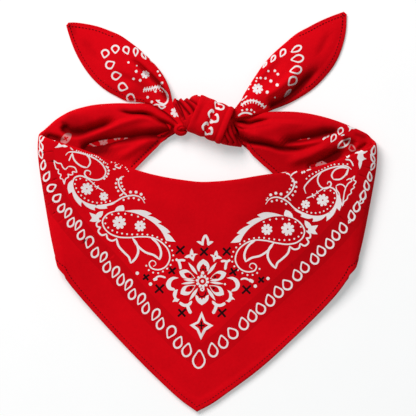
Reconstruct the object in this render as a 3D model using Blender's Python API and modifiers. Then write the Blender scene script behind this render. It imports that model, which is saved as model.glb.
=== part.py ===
"""A square cotton bandana, folded corner to corner, tied in a loop and laid down flat.

The front panel lies face up with its corner towards -Y. At each side the folded cloth turns
under and comes back as a gathered band, and the two bands meet in a knot with two free tails.
Every stretch is a thin wall laid through sections that are worked out from short tables, in
millimetres. The surface that it lies on is Z = 0, the origin is in the middle of its outline on
that surface, and +Y runs from the front corner to the knot.
"""

import math
from collections import namedtuple

import bmesh
import bpy
import numpy as np

MM = 0.001
WALL = 1.2  # one layer of cloth
HEM_WALL = 1.6  # the turned hem
HEM_WIDTH = 7.0  # measured along a section, which meets the hem at about 45 degrees
LEAF_STEP = 2.4  # from the middle of one layer to the middle of the next
TABLE_LAYER = WALL / 2  # the height of the middle of a layer that lies on the surface
HEM_LAYER = HEM_WALL / 2
SEAM_GAP = 0.5
INNER_SETBACK = 0.8
SHORT_STEP = 1.7  # the last step before a seam, so that its two rims are parallel
FOLD_BOW = 3.4  # how far the side folds bow outwards
NECK_BULGE = 0.9  # a side fold is a little flatter at its neck edge

RED = (0.72, 0.008, 0.02, 1.0)
DEEP_RED = (0.60, 0.006, 0.016, 1.0)

# One row for each section of the loop's outer layer: the hem's point, the neck edge's point, how
# far the section bows along X, how thick the two layers stand at the neck edge and at the middle
# of what shows, and the share of the section, from the hem, that the front panel covers.
Section = namedtuple("Section", "hem neck bow roll dome cover")

LEFT_BAND = (
    Section((-26.0, 54.4, 5.6), (-21.2, 62.8, 8.0), 0.0, 2.4, 2.4, 0.0),
    Section((-28.4, 52.3, 4.0), (-23.4, 66.0, 6.2), 0.0, 5.0, 4.2, 0.0),
    Section((-33.0, 48.6, 2.2), (-28.8, 71.0, 3.2), 0.0, 8.2, 8.2, 0.0),
    Section((-38.0, 44.0, 1.2), (-38.6, 75.8, 1.4), 0.0, 8.8, 9.6, 0.0),
    Section((-51.0, 31.0, 0.6), (-53.4, 77.4, 0.6), 0.0, 8.8, 8.2, 0.05),
    Section((-68.0, 13.6, 0.6), (-69.6, 77.4, 0.6), 0.0, 8.6, 7.0, 0.36),
    Section((-84.0, -2.8, 0.6), (-86.4, 75.4, 0.6), 0.0, 8.0, 6.2, 0.56),
    Section((-96.5, -15.8, 0.6), (-101.6, 70.2, 0.6), 0.0, 6.4, 5.0, 0.70),
    Section((-101.4, -21.2, 0.6), (-109.8, 64.9, 0.6), 0.0, 4.2, 3.4, 0.82),
    Section((-103.8, -25.0, 0.6), (-114.4, 60.8, 0.6), 0.0, 2.8, 2.4, 0.86),
)
FRONT = (
    Section((-103.2, -44.8, 8.8), (-114.4, 52.2, 14.8), 0.0, 2.4, 2.4, 0.0),
    Section((-99.8, -50.2, 8.2), (-107.0, 49.8, 15.2), 0.0, 2.4, 2.4, 0.0),
    Section((-95.0, -56.5, 7.2), (-97.0, 46.8, 15.0), 0.0, 2.4, 2.4, 0.0),
    Section((-76.3, -78.1, 4.8), (-78.0, 40.0, 13.2), 0.0, 2.4, 2.4, 0.0),
    Section((-56.2, -99.7, 3.4), (-57.0, 31.6, 11.2), 0.0, 2.4, 2.4, 0.0),
    Section((-34.6, -121.3, 3.0), (-35.5, 25.5, 9.4), 0.0, 2.4, 2.4, 0.0),
    Section((-18.2, -136.2, 3.0), (-18.5, 22.5, 8.6), 0.0, 2.4, 2.4, 0.0),
    Section((-7.2, -144.0, 3.0), (-5.0, 21.0, 8.2), 0.0, 2.4, 2.4, 0.0),
    Section((3.4, -138.4, 3.0), (6.0, 21.3, 8.3), 0.0, 2.4, 2.4, 0.0),
    Section((15.4, -130.0, 3.0), (18.0, 22.4, 8.6), 0.0, 2.4, 2.4, 0.0),
    Section((38.2, -113.0, 3.2), (40.0, 25.9, 9.8), 0.0, 2.4, 2.4, 0.0),
    Section((61.0, -92.4, 3.6), (62.0, 28.8, 11.6), 0.0, 2.4, 2.4, 0.0),
    Section((81.0, -72.6, 4.8), (82.0, 32.8, 13.4), 0.0, 2.4, 2.4, 0.0),
    Section((94.8, -57.0, 7.2), (97.0, 38.0, 15.0), 0.0, 2.4, 2.4, 0.0),
    Section((99.6, -50.2, 8.2), (106.5, 42.0, 15.2), 0.0, 2.4, 2.4, 0.0),
    Section((103.0, -44.8, 8.8), (115.2, 45.4, 14.8), 0.0, 2.4, 2.4, 0.0),
)
RIGHT_BAND = (
    Section((103.8, -25.0, 0.6), (115.2, 55.4, 0.6), 0.0, 2.8, 2.4, 0.86),
    Section((101.4, -20.4, 0.6), (110.8, 57.7, 0.6), 0.0, 4.2, 3.4, 0.80),
    Section((96.2, -15.6, 0.6), (102.6, 61.3, 0.6), 0.0, 6.4, 5.0, 0.68),
    Section((83.0, -4.2, 0.6), (87.4, 66.8, 0.6), 0.0, 8.0, 6.4, 0.54),
    Section((66.0, 10.2, 0.6), (69.0, 70.8, 0.6), 0.0, 8.6, 7.4, 0.34),
    Section((47.4, 27.1, 0.6), (52.0, 71.6, 0.6), 0.0, 8.8, 8.6, 0.05),
    Section((36.4, 36.8, 1.2), (38.0, 69.8, 1.4), 0.0, 9.2, 9.8, 0.0),
    Section((29.8, 43.6, 2.4), (27.0, 67.9, 3.2), -1.0, 8.8, 10.0, 0.0),
    Section((27.6, 46.4, 4.0), (21.4, 67.0, 5.6), -2.0, 6.2, 7.2, 0.0),
    Section((26.6, 47.7, 5.2), (18.1, 66.3, 7.4), -2.2, 2.4, 2.4, 0.0),
)
CORNER = 7  # the row of FRONT that holds the front corner

# One row for each fold: its start, the point that bends it, its end, its height (a trough is
# below zero), its half width, and the share of its length over which each end fades out.
Fold = namedtuple("Fold", "start bend end height width fade_in fade_out")

LEFT_BAND_FOLDS = (
    Fold((-104.0, 59.0), (-76.0, 61.5), (-34.0, 66.0), -3.2, 3.2, 0.35, 0.30),
    Fold((-96.0, 52.0), (-72.0, 58.5), (-34.0, 62.6), 2.2, 3.6, 0.40, 0.20),
    Fold((-72.0, 73.4), (-46.0, 72.0), (-22.0, 61.8), -2.0, 2.0, 0.30, 0.15),
    Fold((-84.0, 68.5), (-54.0, 70.5), (-30.0, 68.4), 1.4, 2.6, 0.40, 0.25),
    Fold((-72.0, 43.0), (-46.0, 57.5), (-22.0, 57.8), -2.0, 2.8, 0.45, 0.15),
    Fold((-60.0, 34.0), (-42.0, 50.0), (-24.0, 55.8), 1.2, 2.2, 0.40, 0.20),
    Fold((-104.0, 67.0), (-101.5, 61.0), (-99.5, 52.0), -1.2, 3.0, 0.40, 0.40),
)
RIGHT_BAND_FOLDS = (
    Fold((22.0, 65.0), (34.0, 63.5), (56.0, 67.5), -2.6, 1.9, 0.10, 0.50),
    Fold((24.0, 60.5), (44.0, 57.5), (80.0, 63.0), 2.0, 4.2, 0.15, 0.50),
    Fold((24.0, 56.6), (48.0, 48.5), (84.0, 56.0), -3.4, 2.8, 0.15, 0.35),
    Fold((44.0, 49.5), (54.0, 44.0), (66.0, 45.5), -1.6, 3.6, 0.30, 0.50),
    Fold((76.0, 55.0), (84.0, 44.0), (56.0, 34.0), 1.9, 2.4, 0.30, 0.30),
    Fold((104.0, 56.0), (108.0, 50.0), (113.0, 44.0), -1.0, 2.4, 0.40, 0.40),
    Fold((30.0, 44.0), (38.0, 44.0), (46.0, 38.0), 1.0, 2.6, 0.30, 0.40),
)
FRONT_FOLDS = (
    Fold((-108.0, 40.0), (-96.0, 0.0), (-86.0, -52.0), 1.0, 7.0, 0.40, 0.50),
    Fold((-96.0, 34.0), (-60.0, 4.0), (-20.0, -30.0), -0.9, 8.0, 0.40, 0.60),
    Fold((-62.0, 26.0), (-30.0, 6.0), (10.0, -12.0), 0.8, 7.0, 0.40, 0.60),
    Fold((108.0, 34.0), (98.0, 0.0), (86.0, -50.0), 1.0, 7.0, 0.40, 0.50),
    Fold((98.0, 28.0), (60.0, 2.0), (22.0, -28.0), -0.9, 8.0, 0.40, 0.60),
    Fold((64.0, 22.0), (34.0, 4.0), (-8.0, -14.0), 0.8, 7.0, 0.40, 0.60),
    Fold((-6.0, 10.0), (-6.0, -30.0), (-7.0, -60.0), 0.7, 9.0, 0.50, 0.60),
)

# One row for each section of a tail, from the knot to the corner: the stitched edge, the
# rolled edge, how far the middle stands up, and how many degrees the rolled edge turns under.
TailSection = namedtuple("TailSection", "stitched rolled dome turn")

LEFT_TAIL = (
    TailSection((-21.0, 63.8, 9.9), (-19.0, 65.2, 10.2), 0.0, 0.0),
    TailSection((-24.0, 69.0, 9.0), (-21.8, 70.8, 10.2), 0.2, 0.0),
    TailSection((-28.2, 73.0, 7.4), (-24.2, 76.0, 10.0), 0.8, 20.0),
    TailSection((-33.6, 76.3, 5.4), (-25.8, 81.6, 9.0), 2.2, 70.0),
    TailSection((-40.6, 78.2, 3.4), (-27.4, 88.2, 7.4), 3.6, 130.0),
    TailSection((-49.0, 79.0, 1.6), (-31.6, 97.6, 5.6), 4.8, 155.0),
    TailSection((-57.0, 79.6, 0.9), (-38.8, 106.8, 4.6), 5.0, 160.0),
    TailSection((-65.0, 83.2, 0.9), (-46.8, 114.6, 4.0), 4.6, 155.0),
    TailSection((-73.6, 88.2, 0.9), (-55.5, 121.7, 3.2), 3.8, 130.0),
    TailSection((-82.8, 96.6, 0.9), (-64.6, 127.7, 2.2), 2.8, 70.0),
    TailSection((-90.7, 107.6, 0.9), (-75.8, 132.5, 1.2), 1.6, 20.0),
    TailSection((-96.1, 118.4, 0.9), (-87.4, 135.1, 0.9), 0.8, 0.0),
    TailSection((-99.4, 127.8, 0.9), (-95.6, 136.1, 0.9), 0.3, 0.0),
    TailSection((-101.3, 134.0, 0.9), (-99.7, 136.0, 0.9), 0.0, 0.0),
)
LEFT_TAIL_FOLDS = (
    Fold((-60.0, 113.0), (-46.0, 104.5), (-27.0, 80.0), -4.4, 3.0, 0.45, 0.15),
    Fold((-64.0, 108.0), (-48.0, 99.0), (-29.0, 78.0), 1.6, 3.4, 0.45, 0.20),
    Fold((-70.0, 100.0), (-54.0, 94.0), (-36.0, 84.0), -1.2, 3.0, 0.45, 0.40),
)
RIGHT_TAIL = (
    TailSection((20.6, 68.6, 9.6), (20.2, 70.8, 10.4), 0.0, 0.0),
    TailSection((25.6, 69.3, 8.8), (22.0, 74.6, 10.6), 0.4, 0.0),
    TailSection((31.8, 70.2, 7.4), (24.4, 79.0, 9.6), 1.2, 30.0),
    TailSection((38.8, 71.4, 5.2), (27.0, 83.8, 8.4), 2.8, 90.0),
    TailSection((46.8, 73.2, 3.4), (30.4, 89.9, 7.2), 4.4, 140.0),
    TailSection((56.0, 76.8, 1.6), (34.4, 96.3, 6.2), 5.4, 155.0),
    TailSection((65.4, 81.6, 0.9), (39.9, 104.4, 5.4), 5.4, 155.0),
    TailSection((75.0, 87.8, 0.9), (47.3, 112.8, 4.4), 5.0, 145.0),
    TailSection((84.2, 96.4, 0.9), (55.9, 120.6, 3.4), 4.2, 120.0),
    TailSection((92.5, 107.5, 0.9), (65.8, 128.7, 2.2), 3.0, 70.0),
    TailSection((97.6, 119.8, 0.9), (76.3, 134.7, 1.2), 1.6, 20.0),
    TailSection((99.9, 130.8, 0.9), (86.6, 139.4, 0.9), 0.8, 0.0),
    TailSection((100.3, 138.0, 0.9), (94.4, 142.4, 0.9), 0.3, 0.0),
    TailSection((100.4, 142.0, 0.9), (98.4, 143.8, 0.9), 0.0, 0.0),
)
RIGHT_TAIL_FOLDS = (
    Fold((74.0, 103.0), (64.0, 90.0), (40.0, 76.0), -4.2, 3.0, 0.45, 0.15),
    Fold((68.0, 104.0), (58.0, 93.0), (36.0, 79.0), 1.8, 3.6, 0.40, 0.20),
    Fold((56.0, 112.0), (44.0, 98.0), (32.0, 84.0), 0.9, 3.0, 0.40, 0.30),
)
TAIL_ROLL = 2.2  # the radius of a tail's rolled edge

# The knot's own axes: "along" falls to the right, and "across" is square to it.
KNOT_CENTRE = (2.6, 66.0)
KNOT_ANGLE = math.radians(-22.0)
KNOT_HEIGHT = 23.0
# One row for each ring of the wrap: its place along the knot, and how far it draws in.
WrapRing = namedtuple("WrapRing", "along draw_in")

WRAP_HALF_WIDTH = 14.3
WRAP = (
    WrapRing(-12.2, 1.5),
    WrapRing(-12.7, 0.6),
    WrapRing(-11.4, 0.1),
    WrapRing(-7.0, 0.3),
    WrapRing(-2.4, 0.2),
    WrapRing(0.4, 1.0),
    WrapRing(3.0, 0.2),
    WrapRing(6.6, 0.3),
    WrapRing(8.4, 0.9),
    WrapRing(10.4, 0.0),
    WrapRing(12.2, 0.3),
    WrapRing(12.8, 1.1),
    WrapRing(12.4, 1.8),
)
# The gathered cloth at each end of the wrap, one row for each station along the knot: its lowest
# and highest point across, its underside and its top. Its pleats fan out from one point.
Turn = namedtuple("Turn", "along low high base top")
Fan = namedtuple("Fan", "along across first_angle last_angle pleats depth")

LEFT_TURN = (
    Turn(-0.6, -10.0, 10.0, 2.8, 19.8),
    Turn(-13.5, -9.8, 9.8, 3.0, 19.6),
    Turn(-14.7, -11.8, 12.6, 1.6, 21.0),
    Turn(-16.0, -11.2, 12.1, 1.4, 21.2),
    Turn(-19.4, -8.6, 8.9, 1.6, 20.0),
    Turn(-23.9, -4.4, 6.4, 2.6, 17.6),
    Turn(-27.4, -0.9, 4.5, 4.4, 15.4),
    Turn(-29.0, 0.9, 3.9, 6.4, 12.6),
)
LEFT_FAN = Fan(-13.5, -12.5, 90.0, 139.0, 6, 1.1)
RIGHT_TURN = (
    Turn(0.6, -10.0, 10.0, 2.8, 19.8),
    Turn(13.5, -9.8, 4.0, 3.2, 19.0),
    Turn(14.7, -12.3, 1.6, 1.4, 18.8),
    Turn(17.6, -11.9, -1.7, 1.2, 17.2),
    Turn(22.4, -10.9, -5.9, 1.4, 13.4),
    Turn(26.0, -10.1, -8.3, 2.4, 9.6),
    Turn(27.2, -9.9, -9.0, 3.6, 7.8),
)
RIGHT_FAN = Fan(12.6, 4.2, -38.0, -90.0, 4, 1.0)
# A small loop of cloth tucked in at the knot's lower left: its path, half width and heights.
Tuck = namedtuple("Tuck", "x y half_width base top")

TUCK = (
    Tuck(-14.8, 59.4, 1.0, 5.0, 9.4),
    Tuck(-16.8, 59.0, 2.4, 3.4, 12.0),
    Tuck(-19.0, 58.4, 3.0, 2.4, 12.6),
    Tuck(-21.2, 56.8, 2.2, 2.4, 11.4),
    Tuck(-23.2, 55.2, 0.8, 4.0, 8.0),
)


def hermite(stations, values, breaks=()):
    """A smooth curve through the values, as a function of the station. It may turn sharply at
    the stations whose numbers are in `breaks`."""
    stations = np.asarray(stations, float)
    values = np.asarray(values, float)
    steps = np.diff(stations)
    slopes = np.diff(values, axis=0) / steps[:, None]
    before = np.vstack([slopes[:1], slopes])
    after = np.vstack([slopes, slopes[-1:]])
    weights = np.ones((len(stations), 1)) * 0.5
    weights[1:-1, 0] = steps[:-1] / (steps[:-1] + steps[1:])
    tangents = before * (1 - weights) + after * weights
    arriving, leaving = tangents.copy(), tangents.copy()
    for index in breaks:
        arriving[index], leaving[index] = before[index], after[index]

    def at(wanted):
        wanted = np.atleast_1d(np.asarray(wanted, float))
        spot = np.clip(np.searchsorted(stations, wanted, "right") - 1, 0, len(steps) - 1)
        length = steps[spot][:, None]
        share = (wanted - stations[spot])[:, None] / length
        squared, cubed = share**2, share**3
        return (
            (2 * cubed - 3 * squared + 1) * values[spot]
            + (cubed - 2 * squared + share) * length * leaving[spot]
            + (3 * squared - 2 * cubed) * values[spot + 1]
            + (cubed - squared) * length * arriving[spot + 1]
        )

    return at


def smoothstep(low, high, value):
    share = np.clip((value - low) / (high - low), 0.0, 1.0)
    return share * share * (3 - 2 * share)


def unit(vectors):
    return vectors / np.maximum(np.linalg.norm(vectors, axis=-1, keepdims=True), 1e-9)


def walked(points):
    """The distance from the first point to each, from one to the next."""
    return np.concatenate([[0.0], np.cumsum(np.linalg.norm(np.diff(points, axis=0), axis=1))])


def fold_height(folds, x, y):
    """The height that the folds add at plan points x, y."""
    total = np.zeros(np.shape(x))
    share = np.linspace(0.0, 1.0, 33)
    for fold in folds:
        start, bend, end = (np.array(p) for p in (fold.start, fold.bend, fold.end))
        middle = 2 * bend - (start + end) / 2
        line = (
            np.outer((1 - share) ** 2, start)
            + np.outer(2 * share * (1 - share), middle)
            + np.outer(share**2, end)
        )
        away = np.hypot(np.subtract.outer(x, line[:, 0]), np.subtract.outer(y, line[:, 1]))
        nearest = share[np.argmin(away, axis=-1)]
        fade = smoothstep(0.0, fold.fade_in, nearest) * smoothstep(0.0, fold.fade_out, 1 - nearest)
        total = total + fold.height * fade * np.exp(-((away.min(axis=-1) / fold.width) ** 2))
    return total


def clear_scene():
    for obj in list(bpy.data.objects):
        bpy.data.objects.remove(obj, do_unlink=True)


def cloth_material(name, colour):
    material = bpy.data.materials.new(name)
    material.use_nodes = True
    shader = material.node_tree.nodes["Principled BSDF"]
    shader.inputs["Base Color"].default_value = colour
    shader.inputs["Roughness"].default_value = 0.85
    shader.inputs["Metallic"].default_value = 0.0
    return material


def grid_mesh(name, points):
    """A mesh of rows by columns of points in millimetres, from a plain grid."""
    rows, columns = points.shape[:2]
    mesh = bpy.data.meshes.new(name)
    grid = bmesh.new()
    bmesh.ops.create_grid(grid, x_segments=columns - 1, y_segments=rows - 1, size=0.5)
    for vertex in grid.verts:
        column = round((vertex.co.x + 0.5) * (columns - 1))
        row = round((vertex.co.y + 0.5) * (rows - 1))
        vertex.co = points[row, column] * MM
    bmesh.ops.remove_doubles(grid, verts=grid.verts, dist=1e-7)
    grid.to_mesh(mesh)
    grid.free()
    mesh.shade_smooth()
    return mesh


def cloth_wall(name, points, material, collection, hem_points=()):
    """A cloth wall along the grid of points. Those in `hem_points` carry the thicker hem."""
    mesh = grid_mesh(name, points)
    obj = bpy.data.objects.new(name, mesh)
    collection.objects.link(obj)
    mesh.materials.append(material)
    wall = obj.modifiers.new("cloth", "SOLIDIFY")
    wall.thickness = WALL * MM
    wall.offset = 0.0
    wall.use_quality_normals = True
    if len(hem_points):
        wanted = {tuple(point) for point in np.round(hem_points, 3).reshape(-1, 3)}
        group = obj.vertex_groups.new(name="hem")
        chosen = [
            vertex.index
            for vertex in mesh.vertices
            if tuple(np.round(np.array(vertex.co) / MM, 3)) in wanted
        ]
        group.add(chosen, 1.0, "REPLACE")
        wall.vertex_group = group.name
        wall.thickness = HEM_WALL * MM
        wall.thickness_vertex_group = WALL / HEM_WALL
    return obj


def side_fold(under, over, count=5):
    """The sections that carry the cloth round a side fold, between the last section of the band
    underneath and the first of the front panel on top."""
    side = math.copysign(1, under.neck[0])
    made = []
    for step in range(1, count + 1):
        angle = math.pi * step / (count + 1)
        points = []
        for low, high, bulge in ((under.hem, over.hem, 1), (under.neck, over.neck, NECK_BULGE)):
            low, high = np.array(low), np.array(high)
            half = (high[2] - low[2]) / 2
            point = low + (high - low) * (step / (count + 1)) ** 0.75
            point[0] += side * half * bulge * math.sin(angle)
            point[2] = low[2] + half * (1 - math.cos(angle))
            points.append(tuple(point))
        share = step / (count + 1)
        roll = under.roll + (over.roll - under.roll) * min(1, 2 * share)
        bow = side * FOLD_BOW * math.sin(angle)
        made.append(Section(*points, bow, roll, LEAF_STEP, 0.9))
    return made


class Loop:
    """The folded cloth, from the knot round to the knot again: an outer layer from hem to neck
    edge, a rounded fold at the neck edge, and an inner layer back to the other hem."""

    def __init__(self):
        left = side_fold(LEFT_BAND[-1], FRONT[0])
        right = side_fold(RIGHT_BAND[0], FRONT[-1])[::-1]
        sections = [*LEFT_BAND, *left, *FRONT, *right, *RIGHT_BAND]
        middles = [(np.array(s.hem) + np.array(s.neck)) / 2 for s in sections]
        self.stations = walked(middles)
        half = len(left) // 2
        first_over = len(LEFT_BAND) + len(left)
        last_over = first_over + len(FRONT) - 1
        self.left_seam = self.stations[len(LEFT_BAND) + half]
        self.right_seam = self.stations[last_over + 1 + half]
        self.over = self.stations[[first_over, last_over]]
        self.under = self.stations[[len(LEFT_BAND) - 1, last_over + 1 + len(right)]]
        self.corner = self.stations[first_over + CORNER]
        self.hem = hermite(self.stations, [s.hem for s in sections], [first_over + CORNER])
        self.neck = hermite(self.stations, [s.neck for s in sections])
        self.shape = hermite(self.stations, [(s.bow, s.roll, s.dome, s.cover) for s in sections])

    def on_front(self, station):
        """How far the station is into the front panel: 0 at the side folds, 1 well inside."""
        return smoothstep(0.0, 45.0, np.minimum(station - self.over[0], self.over[1] - station))

    def outer(self, station, share):
        """Points of the outer layer: `station` along the loop, `share` from hem to neck."""
        station, share = np.broadcast_arrays(station, share)
        shape, station, share = share.shape, station.ravel(), share.ravel()[:, None]
        hem, neck = self.hem(station), self.neck(station)
        bow, roll = self.shape(station)[:, :2].T
        neck = neck + unit((hem - neck) * [1, 1, 0]) * roll[:, None] / 2
        front = self.on_front(station)[:, None]
        points = hem + (neck - hem) * share
        rise = share ** (1 + 0.45 * front)
        points[:, 2:] = hem[:, 2:] + (neck[:, 2:] - hem[:, 2:]) * rise
        points[:, :1] += bow[:, None] * (1 - (2 * share - 1) ** 4) * (0.45 + 0.6 * share)
        edge = smoothstep(0.0, 0.12, share) * smoothstep(0.0, 0.08, 1 - share) * front
        points[:, 2] += fold_height(FRONT_FOLDS, points[:, 0], points[:, 1]) * edge[:, 0]
        points[:, 2] = np.maximum(points[:, 2], TABLE_LAYER)
        return points.reshape(*shape, 3)

    def inwards(self, station, share):
        """The direction from the outer layer to the inner one."""
        along = self.outer(station + 0.05, share) - self.outer(station - 0.05, share)
        up = self.outer(station, share + 0.002) - self.outer(station, share - 0.002)
        return -unit(np.cross(along, up))

    def inner(self, station, share, folds):
        station, share = np.broadcast_arrays(station, share)
        points = self.outer(station, share)
        roll, dome, cover = (
            self.shape(station.ravel())[:, i].reshape(share.shape) for i in (1, 2, 3)
        )
        shown = smoothstep(cover - 0.04, cover + 0.6 * (1 - cover), share)
        towards_neck = smoothstep(0.5, 1.0, share)
        full = dome * (1 - towards_neck) + roll * towards_neck
        lift = LEAF_STEP + (full - LEAF_STEP) * shown
        points = points + self.inwards(station, share) * lift[..., None]
        loose = smoothstep(0.5, 3.0, lift - LEAF_STEP)
        edge = smoothstep(0.0, 0.10, share) * smoothstep(0.0, 0.14, 1 - share)
        relief = fold_height(folds, points[..., 0], points[..., 1])
        points[..., 2] += relief * loose * edge
        points[..., 2] = np.maximum(points[..., 2], TABLE_LAYER)
        return points

    def wall(self, stations, outer_shares, inner_shares, bends, folds=()):
        """Rows of points from the outer hem, up and over the neck fold, down to the inner hem. The
        inner layer turns more tightly at a side fold, so it ends a little before the outer one."""
        columns = np.asarray(stations, float)[None, :]
        outer = self.outer(columns, outer_shares[:, None] * np.ones_like(columns))
        for seam in (self.left_seam, self.right_seam):
            near = np.abs(columns - seam) < SEAM_GAP
            columns = np.where(near, columns + np.sign(columns - seam) * INNER_SETBACK, columns)
        inner = self.inner(columns, inner_shares[:, None] * np.ones_like(columns), folds)
        centre = (outer[-1] + inner[0]) / 2
        to_outer = outer[-1] - centre
        reach = np.linalg.norm(to_outer, axis=-1, keepdims=True)
        outwards = unit((outer[-1] - outer[-2]) * [1, 1, 0])
        fold = [
            centre + to_outer * math.cos(angle) + outwards * reach * math.sin(angle)
            for angle in np.linspace(0, math.pi, bends + 2)[1:-1]
        ]
        return np.concatenate([outer, np.array(fold), inner])


def build_front(loop, collection, material):
    start, end = loop.left_seam + SEAM_GAP / 2, loop.right_seam - SEAM_GAP / 2
    stations = np.concatenate(
        [
            [start, start + SHORT_STEP],
            np.linspace(start, loop.over[0], 5)[1:],
            np.linspace(loop.over[0], loop.corner, 15)[1:],
            np.linspace(loop.corner, loop.over[1], 15)[1:],
            np.linspace(loop.over[1], end, 5)[1:-1],
            [end - SHORT_STEP, end],
        ]
    )
    hem_share = HEM_WIDTH / 120.0
    outer = np.concatenate([[0.0, hem_share, hem_share * 1.2], np.linspace(0.13, 1.0, 12)])
    inner = np.array([1.0, 0.93, 0.80, 0.62, 0.44, 0.26, 0.14, 0.05])
    points = loop.wall(stations, outer, inner, bends=2)
    cloth_wall("front_panel", points, material, collection, points[:2])


def build_band(loop, collection, material, name, knot_end, seam, folds):
    side = math.copysign(1, seam - knot_end)
    under = loop.under[0] if side > 0 else loop.under[1]
    from_knot = knot_end + (under - knot_end) * np.linspace(0, 1, 19) ** 1.2
    last = seam - side * SEAM_GAP / 2
    round_fold = [*np.linspace(under, last, 5)[1:-1], last - side * SHORT_STEP, last]
    stations = np.concatenate([from_knot, round_fold])[:: int(side)]
    outer = np.array([0.05, 0.35, 0.7, 1.0])
    inner = np.concatenate([np.linspace(1.0, 0.14, 17), [0.10, 0.07, 0.0]])
    points = loop.wall(stations, outer, inner, bends=4, folds=folds)
    hem = points[-2:, 4:] if side > 0 else points[-2:, :-4]
    cloth_wall(name, points, material, collection, hem)


def build_tail(collection, material, name, sections, folds):
    """A tail: rows run from the stitched edge over the middle and round the rolled edge."""
    stations = walked([(np.array(s.stitched) + np.array(s.rolled)) / 2 for s in sections])
    stitched = hermite(stations, [s.stitched for s in sections])
    rolled = hermite(stations, [s.rolled for s in sections])
    shape = hermite(stations, [(s.dome, s.turn) for s in sections])
    columns = np.linspace(0, stations[-1], 23)
    one, other = stitched(columns), rolled(columns)
    dome, turn = shape(columns).T
    turn = np.clip(turn, 0.0, 170.0)
    across = unit((other - one) * [1, 1, 0])
    width = np.linalg.norm((other - one)[:, :2], axis=1)
    radius = np.minimum(TAIL_ROLL, width * 0.25)
    rows = []
    for share in np.concatenate([[0.0, 0.14, 0.17], np.linspace(0.25, 1.0, 9)]):
        row = one + (other - across * radius[:, None] - one) * share
        row[:, 2] += dome * math.sin(math.pi * share) ** 0.8
        edge = smoothstep(0.0, 0.15, share) * smoothstep(0.0, 0.12, 1 - share)
        wide = smoothstep(6.0, 14.0, width)
        row[:, 2] += fold_height(folds, row[:, 0], row[:, 1]) * edge * wide
        row[:, 2] = np.maximum(row[:, 2], HEM_LAYER if share < 0.16 else TABLE_LAYER)
        rows.append(row)
    edge_row = rows[-1]
    curled = smoothstep(0.0, 90.0, turn)
    for step in (1, 2, 3):
        angle = np.radians(turn) * step / 3
        reach = radius * ((1 - curled) * step / 3 + curled * np.sin(angle))
        row = edge_row + across * reach[:, None]
        row[:, 2] -= radius * (1 - np.cos(angle)) * curled
        row[:, 2] = np.maximum(row[:, 2], TABLE_LAYER)
        rows.append(row)
    points = np.array(rows)
    if np.cross(points[1, 9] - points[0, 9], points[0, 10] - points[0, 9])[2] < 0:
        points = points[:, ::-1]
    cloth_wall(name, points, material, collection, points[:2])


def knot_point(along, across, height):
    """A point from the knot's own axes."""
    cosine, sine = math.cos(KNOT_ANGLE), math.sin(KNOT_ANGLE)
    x = KNOT_CENTRE[0] + along * cosine - across * sine
    y = KNOT_CENTRE[1] + along * sine + across * cosine
    return np.stack(np.broadcast_arrays(x, y, height), axis=-1)


def rounded_ring(angle, half_width, half_height, squareness=2.4):
    """Across and height of a rounded outline at each angle."""
    cosine, sine = np.cos(angle), np.sin(angle)
    across = half_width * np.sign(cosine) * np.abs(cosine) ** (2 / squareness)
    height = half_height * np.sign(sine) * np.abs(sine) ** (2 / squareness)
    return across, height


def build_wrap(collection, material):
    """The broad turn of cloth round the middle of the knot, with its edges rolled in."""
    around = np.linspace(0, 2 * math.pi, 29)
    rows = []
    for ring in WRAP:
        width = WRAP_HALF_WIDTH - WALL / 2 - ring.draw_in
        height = KNOT_HEIGHT / 2 - WALL / 2 - ring.draw_in
        across, up = rounded_ring(around, width, height)
        across[-1], up[-1] = across[0], up[0]
        rows.append(knot_point(ring.along, across, KNOT_HEIGHT / 2 + up))
    cloth_wall("knot_wrap", np.array(rows), material, collection)


def loft(name, rings, material, collection):
    """One closed solid through rings of points in millimetres, with a face on each end."""
    mesh = bpy.data.meshes.new(name)
    body = bmesh.new()
    made = [[body.verts.new(point * MM) for point in ring] for ring in rings]
    count = len(made[0])
    for one, other in zip(made, made[1:]):
        for i in range(count):
            j = (i + 1) % count
            body.faces.new((one[i], other[i], other[j], one[j]))
    body.faces.new(made[0])
    body.faces.new(made[-1][::-1])
    bmesh.ops.recalc_face_normals(body, faces=body.faces)
    body.to_mesh(mesh)
    body.free()
    mesh.materials.append(material)
    mesh.shade_smooth()
    collection.objects.link(bpy.data.objects.new(name, mesh))


def build_turn(collection, material, name, table, fan, around_count):
    """The gathered cloth at one end of the wrap, with its pleats fanned out."""
    side = math.copysign(1, table[-1].along)
    sections = hermite([t.along * side for t in table], [t[1:] for t in table])
    inside = [abs(table[0].along), abs(table[1].along)]
    outside = np.linspace(abs(table[2].along), abs(table[-1].along), 24)
    around = np.linspace(0, 2 * math.pi, around_count + 1)[:-1]
    rings = []
    for distance in [*inside, *outside]:
        low, high, base, top = sections(distance)[0]
        across, up = rounded_ring(around, (high - low) / 2, (top - base) / 2)
        across = across + (high + low) / 2
        along = np.full_like(across, distance * side)
        out = np.hypot(along - fan.along, across - fan.across)
        angle = np.degrees(np.arctan2(across - fan.across, (along - fan.along) * side))
        angle = np.where(side < 0, 180 - angle, angle)
        part = np.clip((angle - fan.first_angle) / (fan.last_angle - fan.first_angle), 0, 1)
        ridge = np.abs(np.sin(math.pi * part * fan.pleats)) ** 0.7
        sink = fan.depth * (1 - ridge) * smoothstep(1.0, 10.0, out)
        sink = sink * smoothstep(12.6, 14.4, distance) * smoothstep(0.0, 2.0, (high - low) / 4)
        centre = (high + low) / 2
        span = np.maximum(np.hypot(across - centre, up), 0.5)
        across = across - sink * (across - centre) / span
        up = up - sink * up / span
        rings.append(knot_point(along, across, (top + base) / 2 + up))
    loft(name, rings, material, collection)


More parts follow.
